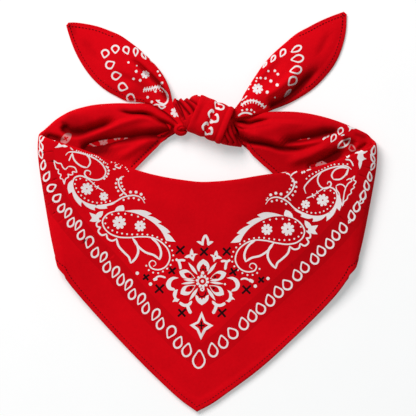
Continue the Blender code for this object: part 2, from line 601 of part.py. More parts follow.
def build_tuck(collection, material):
    stations = walked([(t.x, t.y) for t in TUCK])
    table = hermite(stations, TUCK)
    around = np.linspace(0, 2 * math.pi, 15)[:-1]
    rings = []
    for station in np.linspace(0, stations[-1], 12):
        x, y, half_width, base, top = table(station)[0]
        ahead, behind = table(station + 0.2)[0], table(station - 0.2)[0]
        direction = unit(ahead[:2] - behind[:2])
        across, up = rounded_ring(around, half_width, (top - base) / 2, 2.1)
        groove = 0.9 * np.exp(-(((across - 0.4) / 0.8) ** 2)) * (np.sin(around) > 0.3)
        height = (top + base) / 2 + up - groove * smoothstep(1.2, 2.6, half_width)
        rings.append(
            np.stack([x - direction[1] * across, y + direction[0] * across, height], axis=-1)
        )
    loft("knot_tuck", rings, material, collection)


def main():
    clear_scene()
    collection = bpy.data.collections.new("bandana")
    bpy.context.scene.collection.children.link(collection)
    printed = cloth_material("printed_cotton", RED)
    plain = cloth_material("plain_cotton", DEEP_RED)
    loop = Loop()
    build_front(loop, collection, printed)
    ends = loop.stations[[0, -1]]
    build_band(loop, collection, plain, "left_band", ends[0], loop.left_seam, LEFT_BAND_FOLDS)
    build_band(loop, collection, plain, "right_band", ends[1], loop.right_seam, RIGHT_BAND_FOLDS)
    build_tail(collection, printed, "left_tail", LEFT_TAIL, LEFT_TAIL_FOLDS)
    build_tail(collection, printed, "right_tail", RIGHT_TAIL, RIGHT_TAIL_FOLDS)
    build_wrap(collection, printed)
    build_turn(collection, plain, "knot_left", LEFT_TURN, LEFT_FAN, 26)
    build_turn(collection, plain, "knot_right", RIGHT_TURN, RIGHT_FAN, 22)
    build_tuck(collection, plain)


main()
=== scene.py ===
"""The look of a red cotton bandana, folded corner to corner, knotted in a loop and laid flat.

The cloth is made as thin shells that follow the solids' forms, in millimetres until a mesh is
made. +Y runs from the front corner to the knot, and the surface that it lies on is Z = 0.
"""

import math
from collections import namedtuple
from contextlib import contextmanager

import bmesh
import bpy
import numpy as np
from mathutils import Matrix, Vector, kdtree
from mathutils.bvhtree import BVHTree
from mathutils.geometry import delaunay_2d_cdt
from numpy.linalg import norm


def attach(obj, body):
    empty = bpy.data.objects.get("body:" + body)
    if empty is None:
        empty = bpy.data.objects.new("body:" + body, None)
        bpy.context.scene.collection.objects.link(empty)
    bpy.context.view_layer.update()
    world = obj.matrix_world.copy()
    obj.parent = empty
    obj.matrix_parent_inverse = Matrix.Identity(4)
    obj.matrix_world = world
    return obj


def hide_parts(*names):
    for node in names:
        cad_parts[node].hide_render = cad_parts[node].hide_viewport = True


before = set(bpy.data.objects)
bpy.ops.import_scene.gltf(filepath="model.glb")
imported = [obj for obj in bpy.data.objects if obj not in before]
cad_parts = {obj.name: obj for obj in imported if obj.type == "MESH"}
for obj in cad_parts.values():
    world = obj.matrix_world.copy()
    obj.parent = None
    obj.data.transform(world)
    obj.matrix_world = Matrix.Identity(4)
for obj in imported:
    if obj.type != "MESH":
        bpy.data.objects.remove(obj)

bl_info = {
    "name": "Knotted Bandana",
    "version": (1, 0, 0),
    "blender": (4, 5, 0),
    "location": "View3D > Sidebar > Bandana",
    "description": "Builds a folded and knotted cotton bandana with its printed pattern",
    "category": "Add Mesh",
}

MM = 0.001
LEAF_STEP = 2.4  # from the middle of one layer to the middle of the next
TABLE_LAYER = 0.6  # the height of the middle of a layer that lies on the surface
STITCHED_LAYER = 0.8  # the same for a tail's stitched edge, which is thicker
FOLD_BOW = 3.4  # how far the side folds bow outwards
NECK_BULGE = 0.9  # a side fold is a little flatter at its neck edge
INNER_SETBACK = 0.4  # the inner layer stops short of a side fold's seam by this much
SIDE_COLUMNS = 12  # columns of the cloth's grid round half of a side fold
FRONT_COLUMNS = 61  # and on each side of the front corner
CREASE_STEP = 1.0  # how finely a crease's path is followed
MOST_SINK = 2.6  # no trough between the knot's pleats is deeper
BELOW_ROOM = 0.3  # the share of the room inside a band that a lift from below may take
TAIL_ROLL = 2.2  # the radius of a tail's rolled edge
OWN_ROOM = 0.55  # a point of the cloth's own grid keeps at least so far from the print's outlines

INK_AND_SHADE_LAYER, CUT_LAYER = "ink", "cut"  # the colour attribute of the print, whose alpha carries painted crease shade, and the flat places
CUT_SPAN = 400.0  # millimetres of cloth for each unit of the flat places
BARE, WHITE, BLACK, FAINT = range(4)
TONE = 8  # added to an ink where the ground is a little darker
TONE_STRENGTH = 0.36  # how much darker the ground is there
FAINT_INK = 0.3  # how white the faint ink is
BACK_INK = 0.35  # how much of the print shows on the back of the cloth
SHADE_DEPTH = 7.0  # the depth of a crease at which its painted shade is darkest
SHADE_SHARE = 0.72  # how much the painted shade darkens the colour there
PLEAT_SHADE = 3.2  # the painted shade in a trough between pleats counts as so many times its sink
SHADE_PATCH_PLACE, SHADE_PATCH_REACH, SHADE_PATCH_SHARE = (74.0, -4.0), 64.0, 0.26  # a soft patch of painted shade at the right of the front

STITCH_INSET = 3.4  # from the hem's edge to its stitches
STITCH_END = 0.9  # a tail's stitches stop so far from the edge ahead
STITCH_SINK = 0.12  # how deep the stitches lie in the cloth
STITCH_SEED = 7

FLOOR_REACH = 2.0
CAMERA_LENS, CAMERA_SENSOR, CAMERA_PLACE = 360.6, 36.0, (0.00072, 0.00252, 3.0)
KEY_PLACE, KEY_AIM, KEY_SIZE = (-1.10, 1.56, 2.20), (0.0, 0.0, 0.0), 1.7


def pairs(numbers):
    """Points from their x and y in turn, in tenths of a millimetre."""
    return np.reshape(numbers, (-1, 2)) / 10


def table(kind, *rows):
    """Rows of one kind. Where its last field is `points`, that takes the rest of the row."""
    lead = len(kind._fields) - 1
    if kind._fields[-1] != "points":
        return [kind(*row) for row in rows]
    return [kind(*row[:lead], pairs(row[lead:])) for row in rows]


def strips(kind, *rows):
    """Rows of one kind, whose first two fields are points in space."""
    return [kind(row[:3], row[3:6], *row[6:]) for row in rows]


def outlines(*shapes):
    """Closed outlines, each given as runs. A run is smooth up to the start of the next one."""
    return [
        [pairs((*run, *ahead[:2])) for run, ahead in zip(runs, (*runs[1:], runs[0]))]
        for runs in shapes
    ]


# One row for each section of the loop's outer layer: the hem's point, the neck edge's point, how
# far the section bows along X, how thick the two layers stand at the neck edge and at the middle
# of what shows, and the share of the section, from the hem, that the front panel covers.
FLAT = (0.0, LEAF_STEP, LEAF_STEP, 0.0)
Section = namedtuple("Section", "hem neck bow roll dome cover", defaults=FLAT)

LEFT_BAND = strips(
    Section,
    (-22.2, 56.4, 5.6, -17.8, 62.4, 6), (-25.6, 54.2, 4.6, -19.8, 65, 4.8, 0, 2.8, 3.4, 0),
    (-28.4, 52.3, 3.2, -22.6, 68, 3.4, 0, 4, 5.4, 0), (-33, 48.6, 1.8, -28.4, 72.4, 1.8, 0, 5.4, 8.6, 0),
    (-38, 44, 1.2, -38.5, 76.4, 1, 0, 6.4, 10.2, 0), (-51, 31, 0.6, -53.4, 77.4, 0.6, 0, 8.8, 8.2, 0.05),
    (-68, 13.6, 0.6, -69.6, 77.4, 0.6, 0, 8.6, 7, 0.36),
    (-84, -2.8, 0.6, -86.4, 75.4, 0.6, 0, 8, 6.2, 0.56),
    (-96.5, -15.8, 0.6, -101.6, 70.2, 0.6, 0, 6.4, 5, 0.7),
    (-101.4, -21.2, 0.6, -109.8, 64.9, 0.6, 0, 4.2, 3.4, 0.82),
    (-103.8, -25, 0.6, -114.4, 60.8, 0.6, 0, 2.8, 2.4, 0.86),
)
FRONT = strips(
    Section,
    (-103.2, -44.8, 8.8, -114.4, 52.2, 14.8), (-99.8, -50.2, 8.2, -107, 49.8, 15.2),
    (-95, -56.5, 7.2, -97, 46.8, 15), (-76.3, -78.1, 4.8, -78, 40, 13.2),
    (-56.2, -99.7, 3.4, -57, 31.6, 11.2), (-34.6, -121.3, 3, -35.5, 25.5, 9.4),
    (-18.2, -136.2, 3, -18.5, 22.5, 8.6), (-7.2, -144, 3, -5, 21, 8.2), (3.4, -138.4, 3, 6, 21.3, 8.3),
    (15.4, -130, 3, 18, 22.4, 8.6), (38.2, -113, 3.2, 40, 25.9, 9.8), (61, -92.4, 3.6, 62, 28.8, 11.6),
    (81, -72.6, 4.8, 82, 32.8, 13.4), (94.8, -57, 7.2, 97, 38, 15), (99.6, -50.2, 8.2, 106.5, 42, 15.2),
    (103, -44.8, 8.8, 115.2, 45.4, 14.8),
)
RIGHT_BAND = strips(
    Section,
    (103.8, -25, 0.6, 115.2, 55.4, 0.6, 0, 2.8, 2.4, 0.86),
    (101.4, -20.4, 0.6, 110.8, 57.7, 0.6, 0, 4.2, 3.4, 0.8),
    (96.2, -15.6, 0.6, 102.6, 61.3, 0.6, 0, 6.4, 5, 0.68),
    (83, -4.2, 0.6, 87.4, 66.8, 0.6, 0, 8, 6.4, 0.54), (66, 10.2, 0.6, 69, 70.8, 0.6, 0, 8.6, 7.4, 0.34),
    (47.4, 27.1, 0.6, 52, 71.6, 0.6, 0, 8.8, 8.6, 0.05), (36.4, 36.8, 1.2, 38, 71, 1, 0, 6.8, 10.8, 0),
    (29.6, 43.4, 2, 27, 69.6, 1.8, -1, 5.6, 11.8, 0), (26.8, 46.2, 3.2, 20.8, 69, 3.4, -2, 4.4, 11, 0),
    (24.8, 47.4, 4.6, 15.8, 68, 6, -2.4, 2.4, 8, 0),
)
CORNER = 7  # the row of FRONT that holds the front corner

# One row for each crease: its height (a trough is below zero), its half width, how much wider it
# is on the left of its path than on the right, the share of its length over which each end fades
# out, and the points of its path.
Crease = namedtuple("Crease", "height width lean fade_in fade_out points")

LEFT_BAND_CREASES = table(
    Crease,
    (-7, 2.7, 0.35, 0.08, 0.3, -1044, 623, -1015, 580, -965, 559, -907, 562, -842, 584, -770, 608,
     -698, 634, -619, 662),
    (-6.4, 1.7, 0.1, 0.2, 0.02, -662, 742, -619, 729, -554, 712, -482, 708, -410, 689, -338, 652, -281, 623,
     -223, 576),
    (2.4, 2.4, -0.3, 0.25, 0.15, -857, 540, -770, 576, -698, 605, -626, 630, -554, 652, -482, 669,
     -396, 670, -310, 637),
    (-7.2, 3.4, 0.35, 0.1, 0.02, -886, 421, -828, 450, -770, 476, -698, 497, -626, 513, -554, 526,
     -482, 542, -410, 549, -338, 551, -281, 555, -216, 565),
    (-3, 6, 0, 0.2, 0.4, -929, 428, -842, 428, -756, 446, -670, 464),
    (1.8, 3, 0, 0.4, 0.2, -684, 371, -583, 414, -482, 472, -382, 511),
    (-3.5, 2, 0.3, 0.25, 0.25, -1041, 666, -1030, 623, -1022, 565),
    (-4.4, 2.2, 0, 0.15, 0.3, -1159, 544, -1109, 528, -1058, 513, -1015, 496),
    (1.2, 3.2, 0, 0.35, 0.35, -1001, 716, -871, 738, -727, 745),
)
RIGHT_BAND_CREASES = table(
    Crease,
    (-5.4, 1.6, 0.1, 0.22, 0.4, 187, 654, 245, 646, 310, 631, 360, 647, 410, 659, 482, 662),
    (1.2, 1.6, 0, 0.1, 0.5, 209, 619, 295, 612, 396, 626, 526, 652),
    (2.2, 5, 0, 0.2, 0.35, 281, 580, 396, 587, 569, 630, 756, 659),
    (-7.4, 2.2, 0.2, 0.34, 0.3, 180, 608, 209, 565, 245, 529, 288, 505, 331, 496, 382, 489, 454, 474,
     526, 453, 598, 447, 670, 450, 770, 460),
    (-6.8, 3, 0.4, 0.25, 0.15, 497, 483, 554, 493, 598, 502, 670, 512, 742, 528, 814, 545, 886, 568,
     972, 601), (2, 1.7, 0, 0.25, 0.3, 583, 476, 670, 483, 756, 495, 842, 515),
    (3, 3.4, 0, 0.3, 0.3, 554, 335, 641, 371, 742, 407, 814, 443, 914, 490),
    (-6.4, 3.6, 0.3, 0.15, 0.25, 713, 284, 814, 313, 886, 360, 958, 418, 1015, 464),
    (-4.8, 2.4, 0, 0.25, 0.25, 972, 511, 1022, 500, 1073, 470),
    (-2.6, 1.5, 0, 0.3, 0.3, 1051, 558, 1102, 546, 1152, 522),
    (-2.2, 1.4, 0, 0.3, 0.3, 1073, 443, 1116, 463, 1159, 500),
    (-2, 1, 0, 0.02, 0.6, 173, 637, 209, 611, 252, 594, 310, 587),
    (-3, 1.2, 0, 0.02, 0.5, 180, 594, 216, 522, 256, 472, 310, 436),
)
FRONT_CREASES = table(
    Crease,
    (1, 7, 0, 0.4, 0.5, -1080, 400, -960, 0, -860, -520),
    (-0.9, 8, 0, 0.4, 0.6, -960, 340, -600, 40, -200, -300),
    (0.8, 7, 0, 0.4, 0.6, -620, 260, -300, 60, 100, -120),
    (1, 7, 0, 0.4, 0.5, 1080, 340, 980, 0, 860, -500), (-0.9, 8, 0, 0.4, 0.6, 980, 280, 600, 20, 220, -280),
    (0.8, 7, 0, 0.4, 0.6, 640, 220, 340, 40, -80, -140),
    (0.7, 9, 0, 0.5, 0.6, -60, 100, -60, -300, -70, -600),
)

# Soft lifts under the bands, where the lowest layer doesn't lie flat. The photograph doesn't show
# them, nor the print there: its border, and the place and turn of two paisleys.
BELOW_CREASES = table(
    Crease,
    (1.7, 3.4, 0.2, 0.3, 0.3, -1040, 560, -840, 500, -600, 550, -400, 600),
    (1.5, 4, 0, 0.35, 0.3, -1040, 240, -860, 310, -640, 400, -460, 500),
    (1.2, 3, 0, 0.4, 0.4, -1060, 100, -960, 20, -880, -60),
    (1.7, 3.6, -0.2, 0.3, 0.3, 1020, 500, 820, 490, 600, 540, 420, 580),
    (1.5, 3.6, 0, 0.35, 0.3, 1040, 200, 840, 320, 620, 380, 460, 460),
    (1.2, 3, 0, 0.4, 0.4, 1080, 60, 970, 0, 880, -80),
)
BELOW_BORDER, BELOW_DROPS = pairs((380, 520, 1010, -120)), 11
BELOW_SPOT, BELOW_TURN, BELOW_SCALE = (84.0, 35.0), -4.0, 0.8
PAISLEY_MIDDLE = (-61.0, -8.0)

# Where the bands lie in shade, in the same terms: the shade, and the shadow along the left
# tail's edge, are painted into the cloth's colour, and the form stays as it is.
LEFT_BAND_SHADES = table(
    Crease,
    (-3.4, 4.2, 0.3, 0.15, 0.35, -1044, 623, -958, 594, -871, 601),
    (-2.4, 4.4, 0, 0.25, 0.35, -1030, 673, -914, 652, -792, 673),
    (-6, 5.6, 0, 0.1, 0.35, -929, 443, -828, 450, -742, 461, -641, 479),
    (-4.5, 2.4, 0, 0.1, 0.3, -1174, 561, -1109, 539, -1044, 518),
    (-3.6, 1.6, 0, 0.1, 0.2, -547, 335, -468, 407, -374, 493, -295, 562),
    (-1.6, 4, 0, 0.3, 0.2, -713, 436, -554, 493, -410, 522, -295, 536),
    (-6.5, 1.3, 0, 0.15, 0.05, -482, 792, -396, 770, -338, 738, -281, 706, -216, 655, -158, 605),
)
RIGHT_BAND_SHADES = table(
    Crease,
    (-2, 4, 0, 0.2, 0.2, 641, 558, 756, 572, 886, 601),
    (-3.6, 3.6, 0, 0.2, 0.2, 785, 335, 886, 385, 972, 443),
)

# One row for each section of a tail, from the knot to the corner: the stitched edge, the
# rolled edge, how far the middle stands up, and how many degrees the rolled edge turns under.
TailSection = namedtuple("TailSection", "stitched rolled dome turn")

LEFT_TAIL = strips(
    TailSection,
    (-19, 61.2, 11.4, -16.4, 63, 11.2, 0, 0), (-24.4, 67.2, 11.4, -20.4, 70.2, 11.4, 0.2, 0),
    (-28.8, 71.2, 10, -23.2, 75.6, 11, 0.8, 20), (-34.4, 74.8, 7.6, -25.4, 81.4, 9.6, 2.2, 70),
    (-40.8, 77.6, 4.4, -27.2, 88.2, 7.6, 3.6, 130), (-49, 79, 1.6, -31.6, 97.6, 5.6, 4.8, 155),
    (-57, 79.6, 0.9, -38.8, 106.8, 4.6, 5, 160), (-65, 83.2, 0.9, -46.8, 114.6, 4, 4.6, 155),
    (-73.6, 88.2, 0.9, -55.5, 121.7, 3.2, 3.8, 130), (-82.8, 96.6, 0.9, -64.6, 127.7, 2.2, 2.8, 70),
    (-90.7, 107.6, 0.9, -75.8, 132.5, 1.2, 1.6, 20), (-96.1, 118.4, 0.9, -87.4, 135.1, 0.9, 0.8, 0),
    (-99.4, 127.8, 0.9, -95.6, 136.1, 0.9, 0.3, 0), (-101.3, 134, 0.9, -99.7, 136, 0.9, 0, 0),
)
LEFT_TAIL_CREASES = table(
    Crease,
    (-6, 2.2, -0.3, 0.35, 0.1, -560, 1113, -470, 1038, -380, 953, -310, 878, -260, 780),
    (2.6, 3, 0, 0.4, 0.15, -600, 1090, -490, 1020, -390, 934, -300, 830),
    (-1.6, 3, 0, 0.4, 0.4, -720, 1010, -560, 950, -380, 840),
    (-1, 2.6, 0, 0.4, 0.4, -900, 1260, -840, 1160, -760, 1060),
)
# Where the left tail lies in shade, in the same terms: the shade is painted into the cloth's colour.
LEFT_TAIL_SHADES = table(
    Crease,
    (-1.8, 4, 0, 0.2, 0.2, -756, 911, -655, 860, -554, 846, -461, 889, -389, 824),
    (-2.2, 2.4, 0, 0.2, 0.3, -994, 1364, -965, 1307, -950, 1249),
    (-2, 2, 0, 0.2, 0.2, -410, 1012, -367, 947, -324, 889),
)
RIGHT_TAIL = strips(
    TailSection,
    (17.4, 66.4, 11.6, 16.6, 70.4, 11.6, 0, 0), (24.6, 67.8, 11.4, 20.6, 74.8, 11.4, 0.4, 0),
    (31.4, 69.2, 9.6, 23.8, 79.4, 10, 1.2, 30), (38.6, 70.8, 6.6, 26.8, 84, 8.6, 2.8, 90),
    (46.8, 73.2, 3.4, 30.4, 89.9, 7.2, 4.4, 140), (56, 76.8, 1.6, 34.4, 96.3, 6.2, 5.4, 155),
    (65.4, 81.6, 0.9, 39.9, 104.4, 5.4, 5.4, 155), (75, 87.8, 0.9, 47.3, 112.8, 4.4, 5, 145),
    (84.2, 96.4, 0.9, 55.9, 120.6, 3.4, 4.2, 120), (92.5, 107.5, 0.9, 65.8, 128.7, 2.2, 3, 70),
    (97.6, 119.8, 0.9, 76.3, 134.7, 1.2, 1.6, 20), (99.9, 130.8, 0.9, 86.6, 139.4, 0.9, 0.8, 0),
    (100.3, 138, 0.9, 94.4, 142.4, 0.9, 0.3, 0), (100.4, 142, 0.9, 98.4, 143.8, 0.9, 0, 0),
)
RIGHT_TAIL_CREASES = table(
    Crease,
    (-5.2, 2.8, -0.3, 0.35, 0.1, 824, 1048, 745, 968, 677, 896, 608, 832, 536, 781, 432, 742),
    (2.6, 3, 0, 0.35, 0.2, 684, 1076, 605, 968, 511, 882, 403, 817),
    (-1.4, 3.4, 0, 0.4, 0.3, 580, 1140, 460, 1000, 330, 850),
    (-1, 2.8, 0, 0.4, 0.4, 900, 1320, 840, 1200, 780, 1080),
)
# Where the right tail lies in shade, in the same terms: the shade is painted into the cloth's colour.
RIGHT_TAIL_SHADES = table(
    Crease,
    (-4.6, 4.4, 0, 0.05, 0.5, 425, 749, 526, 785, 598, 839, 670, 918, 734, 990, 814, 1055, 914, 1120),
)

# The knot's own axes: "along" falls to the right, and "across" is square to it.
KNOT_CENTRE, KNOT_ANGLE, KNOT_HEIGHT = (2.6, 66.0), math.radians(-22.0), 23.0
WRAP_HALF_WIDTH = 14.3
# The rings of the wrap: the place along the knot, and how far the ring draws in.
WRAP = (
    (-12.2, 1.5), (-12.7, 0.6), (-11.4, 0.1), (-7, 0.3), (-2.4, 0.2), (0.4, 1), (3, 0.2), (6.6, 0.3),
    (8.6, 0.7), (10.4, 0), (12.2, 0.3), (12.8, 1.1), (12.4, 1.8),
)
WRAP_CREASES = table(
    Crease,
    (-0.8, 1.4, 0, 0.3, 0.3, 76, 740, 46, 694, 12, 630, -22, 550),
    (-0.6, 1.6, 0, 0.3, 0.3, -10, 790, -50, 700, -90, 610),
)
# The gathered cloth at each end of the wrap, one row for each station along the knot: its lowest
# and highest point across, its underside and its top. Its pleats lie between narrow troughs.
Turn = namedtuple("Turn", "along low high base top")

LEFT_TURN = table(
    Turn,
    (-0.6, -10, 10, 2.8, 19.8), (-10.5, -11.6, 12.4, 2, 20.6), (-13, -12.2, 12.9, 1.6, 21.2),
    (-16, -11.2, 12.3, 1.4, 21.2), (-19.4, -8.6, 9.4, 1.6, 20), (-23.9, -4.6, 6.8, 2.6, 17.6),
    (-27.6, -1.1, 4.9, 4.4, 15.4), (-29.6, 0.9, 4.1, 6.4, 12.6),
)
LEFT_PLEATS = table(
    Crease,
    (-2.6, 0.85, 0, 0.14, 0.06, -223, 814, -211, 788, -200, 760, -187, 731, -175, 695, -157, 644),
    (-3, 1, 0, 0.12, 0.06, -212, 821, -196, 792, -176, 763, -157, 734, -139, 711, -119, 682),
    (-3.2, 1.1, 0, 0.02, 0.04, -176, 824, -158, 806, -146, 794, -126, 774, -108, 751, -95, 731, -76, 702),
    (-2.6, 0.95, 0, 0.02, 0.04, -135, 830, -121, 814, -108, 801, -90, 787, -59, 763),
    (-1, 0.7, 0, 0.3, 0.1, -70, 835, -59, 829, -43, 821),
    (-1.8, 0.7, 0, 0.2, 0.1, -227, 785, -216, 749, -200, 713, -176, 659),
)
RIGHT_TURN = table(
    Turn,
    (0.6, -10, 10, 2.8, 19.8), (10.5, -12.4, 8, 1.6, 20.4), (13.2, -12.9, 5.6, 1.4, 19.8),
    (17.6, -12.4, 1.4, 1.2, 17.8), (22.4, -11.3, -3.6, 1.4, 14.4), (26, -10.3, -7, 2.4, 10.6),
    (27.6, -9.9, -8.6, 3.6, 8.4),
)
RIGHT_PLEATS = table(
    Crease,
    (-2, 0.9, 0, 0.15, 0.02, 169, 641, 178, 612, 187, 580, 200, 547, 214, 515, 230, 482, 234, 468),
    (-2, 0.9, 0, 0.15, 0.02, 148, 605, 149, 580, 157, 554, 169, 529, 185, 504, 194, 479),
    (-1.8, 0.8, 0, 0.15, 0.02, 124, 554, 131, 533, 142, 511, 157, 482),
    (-1.6, 0.8, 0, 0.15, 0.02, 202, 565, 220, 533, 238, 508, 256, 482),
)
# A small loop of cloth tucked in at the knot's lower left: the x and y of its path, its half
# width, its underside and its top.
TUCK = (
    (-13.2, 60.4, 1.6, 4, 11), (-16.6, 61.2, 2.6, 3.4, 13.8), (-19.8, 60.6, 2.6, 3, 14.2),
    (-21.2, 58.6, 2.6, 2.6, 13), (-19.4, 57, 2.5, 2.4, 11.8), (-16.8, 57.2, 2.2, 2.6, 10.6),
    (-14.8, 58.2, 1.2, 3.6, 8.4),
)


# The print, in millimetres on the cloth as it lies. The left half's paisleys serve the right half
# too: MIRRORED pairs places on the left with their twins on the right, where the cloth is pulled
# a little lower.
Line = namedtuple("Line", "width points")
Flower = namedtuple("Flower", "x y radius petals turn")
Dots = namedtuple("Dots", "count radius points")
Drop = namedtuple("Drop", "x y turn length width")

PAISLEY_LINES = table(
    Line,
    (1, -598, 6, -666, 1, -716, -20, -750, -68, -740, -113, -702, -155, -642, -181, -562, -187, -474, -181,
     -390, -189, -322, -225, -278, -279, -268, -341, -302, -400, -362, -418, -406, -399, -415, -372,
     -398, -353, -374, -359, -367, -380, -386, -394),
    (1.5, -650, -191, -638, -241, -594, -295, -561, -329, -548, -372),
    (1.6, -548, -372, -514, -337, -494, -289, -505, -233, -537, -188),
    (1.5, -534, -191, -502, -241, -442, -292, -378, -316, -340, -346),
    (1.6, -340, -346, -330, -301, -342, -253, -366, -217, -402, -189),
    (1.2, -762, -63, -793, -84, -790, -105, -762, -113),
    (1.2, -762, -111, -781, -140, -756, -169, -719, -160),
    (1.2, -721, -160, -714, -193, -681, -210, -649, -196), (0.8, -742, 148, -770, 164, -794, 179),
    (1, -794, 179, -826, 211, -865, 241, -910, 256, -948, 243, -964, 203, -956, 155, -922, 99, -870, 60,
     -802, 43, -722, 49, -662, 68, -610, 99, -562, 113, -514, 115, -473, 99, -446, 60),
    (0.7, -808, 179, -794, 177, -777, 187), (0.7, -796, 161, -785, 171, -780, 187),
    (0.7, -826, 196, -814, 201, -808, 212),
    (1.1, -570, 112, -604, 145, -630, 187, -634, 223, -618, 244, -596, 253),
    (1, -601, 132, -615, 120, -630, 112),
)
PAISLEY_SHAPES = outlines(
    ((-594, 4, -514, 12, -442, 6), (-396, -15, -412, -23), (-425, -28, -382, -41, -350, -60), (-326, -76,
     -342, -82), (-354, -84, -314, -105, -282, -129), (-264, -149, -278, -154), (-289, -154, -262, -173,
     -242, -197), (-226, -217, -260, -215), (-294, -209, -318, -157, -362, -101, -426, -53, -506, -15)),
    ((-662, 4, -652, 27, -630, 41), (-601, 46, -594, 27), (-594, 6, -628, 9)),
    ((-844, -7, -817, -16), (-798, -23, -785, -8, -769, 0), (-746, 3, -750, -23), (-762, -41, -777, -47,
     -772, -60), (-785, -71, -812, -74), (-844, -68, -830, -53), (-825, -44, -836, -25)),
    ((-966, 228, -993, 203, -1000, 167), (-990, 127, -977, 136), (-968, 140, -954, 99, -930, 63), (-902, 35,
     -903, 55), (-898, 71, -870, 39, -838, 19), (-802, 7, -807, 23), (-801, 31, -774, 20, -746, 19),
     (-714, 23, -722, 33), (-714, 41, -686, 47), (-658, 59, -722, 54, -802, 48, -870, 67, -922, 105,
     -954, 155)),
)
PAISLEY_FLOWERS = table(
    Flower,
    (-63, -7.9, 4.9, 8, 8), (-48, -10.4, 4.1, 8, 4), (-86.2, 16.3, 4.5, 8, 10), (-74.1, 10.8, 3.3, 7, 0),
)
PAISLEY_DOTS = table(
    Dots,
    (7, 0.68, -722, -45, -689, -23, -634, -15, -582, -17, -534, -25, -493, -37, -452, -56),
    (25, 0.68, -730, -85, -701, -123, -664, -143, -618, -156, -529, -165, -440, -165, -362, -183,
     -297, -221, -254, -271, -242, -327, -258, -379, -298, -419, -358, -443, -420, -419, -436, -389),
    (12, 0.62, -938, 228, -947, 204, -930, 152, -889, 104, -830, 72, -762, 62, -696, 75),
    (2, 0.62, -909, 236, -865, 225), (4, 0.85, -637, 148, -651, 173, -654, 199, -645, 231),
    (4, 0.75, -594, 159, -608, 181, -616, 208, -617, 233), (3, 1.1, -549, 140, -506, 139, -473, 124),
    (4, 0.8, -598, 84, -562, 96, -526, 97, -490, 85), (2, 0.6, -454, 101, -449, 89),
)
MIRRORED = pairs((
    (-630, -79, 571, -128), (-480, -104, 424, -137), (-750, -69, 700, -137), (-642, -181, 590, -237),
    (-322, -225, 262, -245), (-268, -341, 212, -333), (-415, -372, 348, -399), (-548, -372, 492, -413),
    (-340, -346, 279, -361), (-396, -15, 350, -28), (-226, -217, 178, -225), (-264, -149, 210, -159),
    (-601, 46, 562, 15), (-844, -7, 804, -97), (-681, -210, 630, -272), (-862, 163, 832, 72),
    (-741, 108, 715, 57), (-990, 127, 938, 7), (-902, 35, 862, -65), (-802, 7, 762, -71),
    (-742, 148, 718, 111), (-596, 253, 602, 251), (-446, 60, 422, 51), (-910, 256, 886, 159),
)).reshape(-1, 4)
FRONT_DROPS = table(
    Drop,
    (-118.4, 53.1, -30, 7.2, 5), (-119, 47.2, 20, 7.6, 4.4), (-119, 41.2, -160, 7.4, 5.2),
    (-117.3, 33.5, -12, 7.8, 5.2), (-114.8, 25.3, -28, 8, 5.6), (-111.2, 17.2, -60, 7.6, 6.4),
    (-107.4, 9.9, -45, 8, 6.2), (-104.2, 2.7, -35, 8, 5.8), (-99.8, -1.1, 150, 8.6, 5.4),
    (-97.4, -7.6, -30, 8.4, 5.8), (-92.6, -9.9, 152, 8.6, 5), (-90.2, -16.5, -28, 8.6, 6.2),
    (-84.6, -22, 160, 9.6, 7), (-80.2, -29.3, -26, 8.8, 6.4), (-74.5, -32.8, 150, 9, 5.4),
    (-71.7, -39.7, -24, 9.2, 6.6), (-65.8, -43.5, 152, 9.6, 6), (-61.8, -48.9, -22, 9.6, 6.2),
    (-56.6, -52.7, 150, 9.6, 5.6), (-53.6, -59.3, -24, 9, 6.4), (-47.4, -62.9, 150, 9.8, 6.2),
    (-43.8, -69.3, -20, 9.4, 6.4), (-37, -74.1, 150, 10, 6.4), (-33.4, -80.5, -20, 9.6, 6.6),
    (-26, -86.7, 152, 10.4, 7.8), (-20.6, -94, -26, 10, 7.2), (-14.4, -99.5, -16, 10.8, 8),
    (-5.8, -106.1, -4, 14, 10.2), (4.2, -99.5, 10, 11, 8.2), (11.4, -93.6, 16, 10.4, 8),
    (18.2, -87.3, 40, 9.8, 8.4), (26.2, -80.5, 16, 10, 8), (32.3, -74.9, 18, 9.6, 7.8),
    (38.3, -69.6, 30, 9.4, 8.2), (45.1, -63.7, 20, 9.6, 7.8), (51.1, -57.6, 28, 9.4, 8),
    (57.4, -52.4, 40, 9, 8.2), (64.6, -45.6, 24, 9.2, 7.8), (70, -39.9, 26, 9, 7.6),
    (77, -33.9, 24, 9, 7.2), (81.8, -28.1, 30, 8.8, 7.4), (87.8, -22.8, 30, 8.6, 7.2),
    (92.2, -16.9, 30, 8.6, 6.8), (97.4, -11.6, 24, 8.8, 6.8), (102.2, -7.1, 150, 3.4, 2.4),
    (103.6, -2.8, 10, 8.4, 6), (107.4, 3.5, -10, 8.4, 5.8), (110.6, 7.1, 150, 4.6, 3.2),
    (111.9, 11.9, -14, 8, 5.2), (114.3, 18.8, 8, 7.8, 5), (116.6, 25.2, 4, 7.4, 4.4),
    (118.7, 32.3, 150, 7, 4), (118.7, 38.3, 30, 7, 4), (119.4, 43.9, -20, 7.4, 5),
)
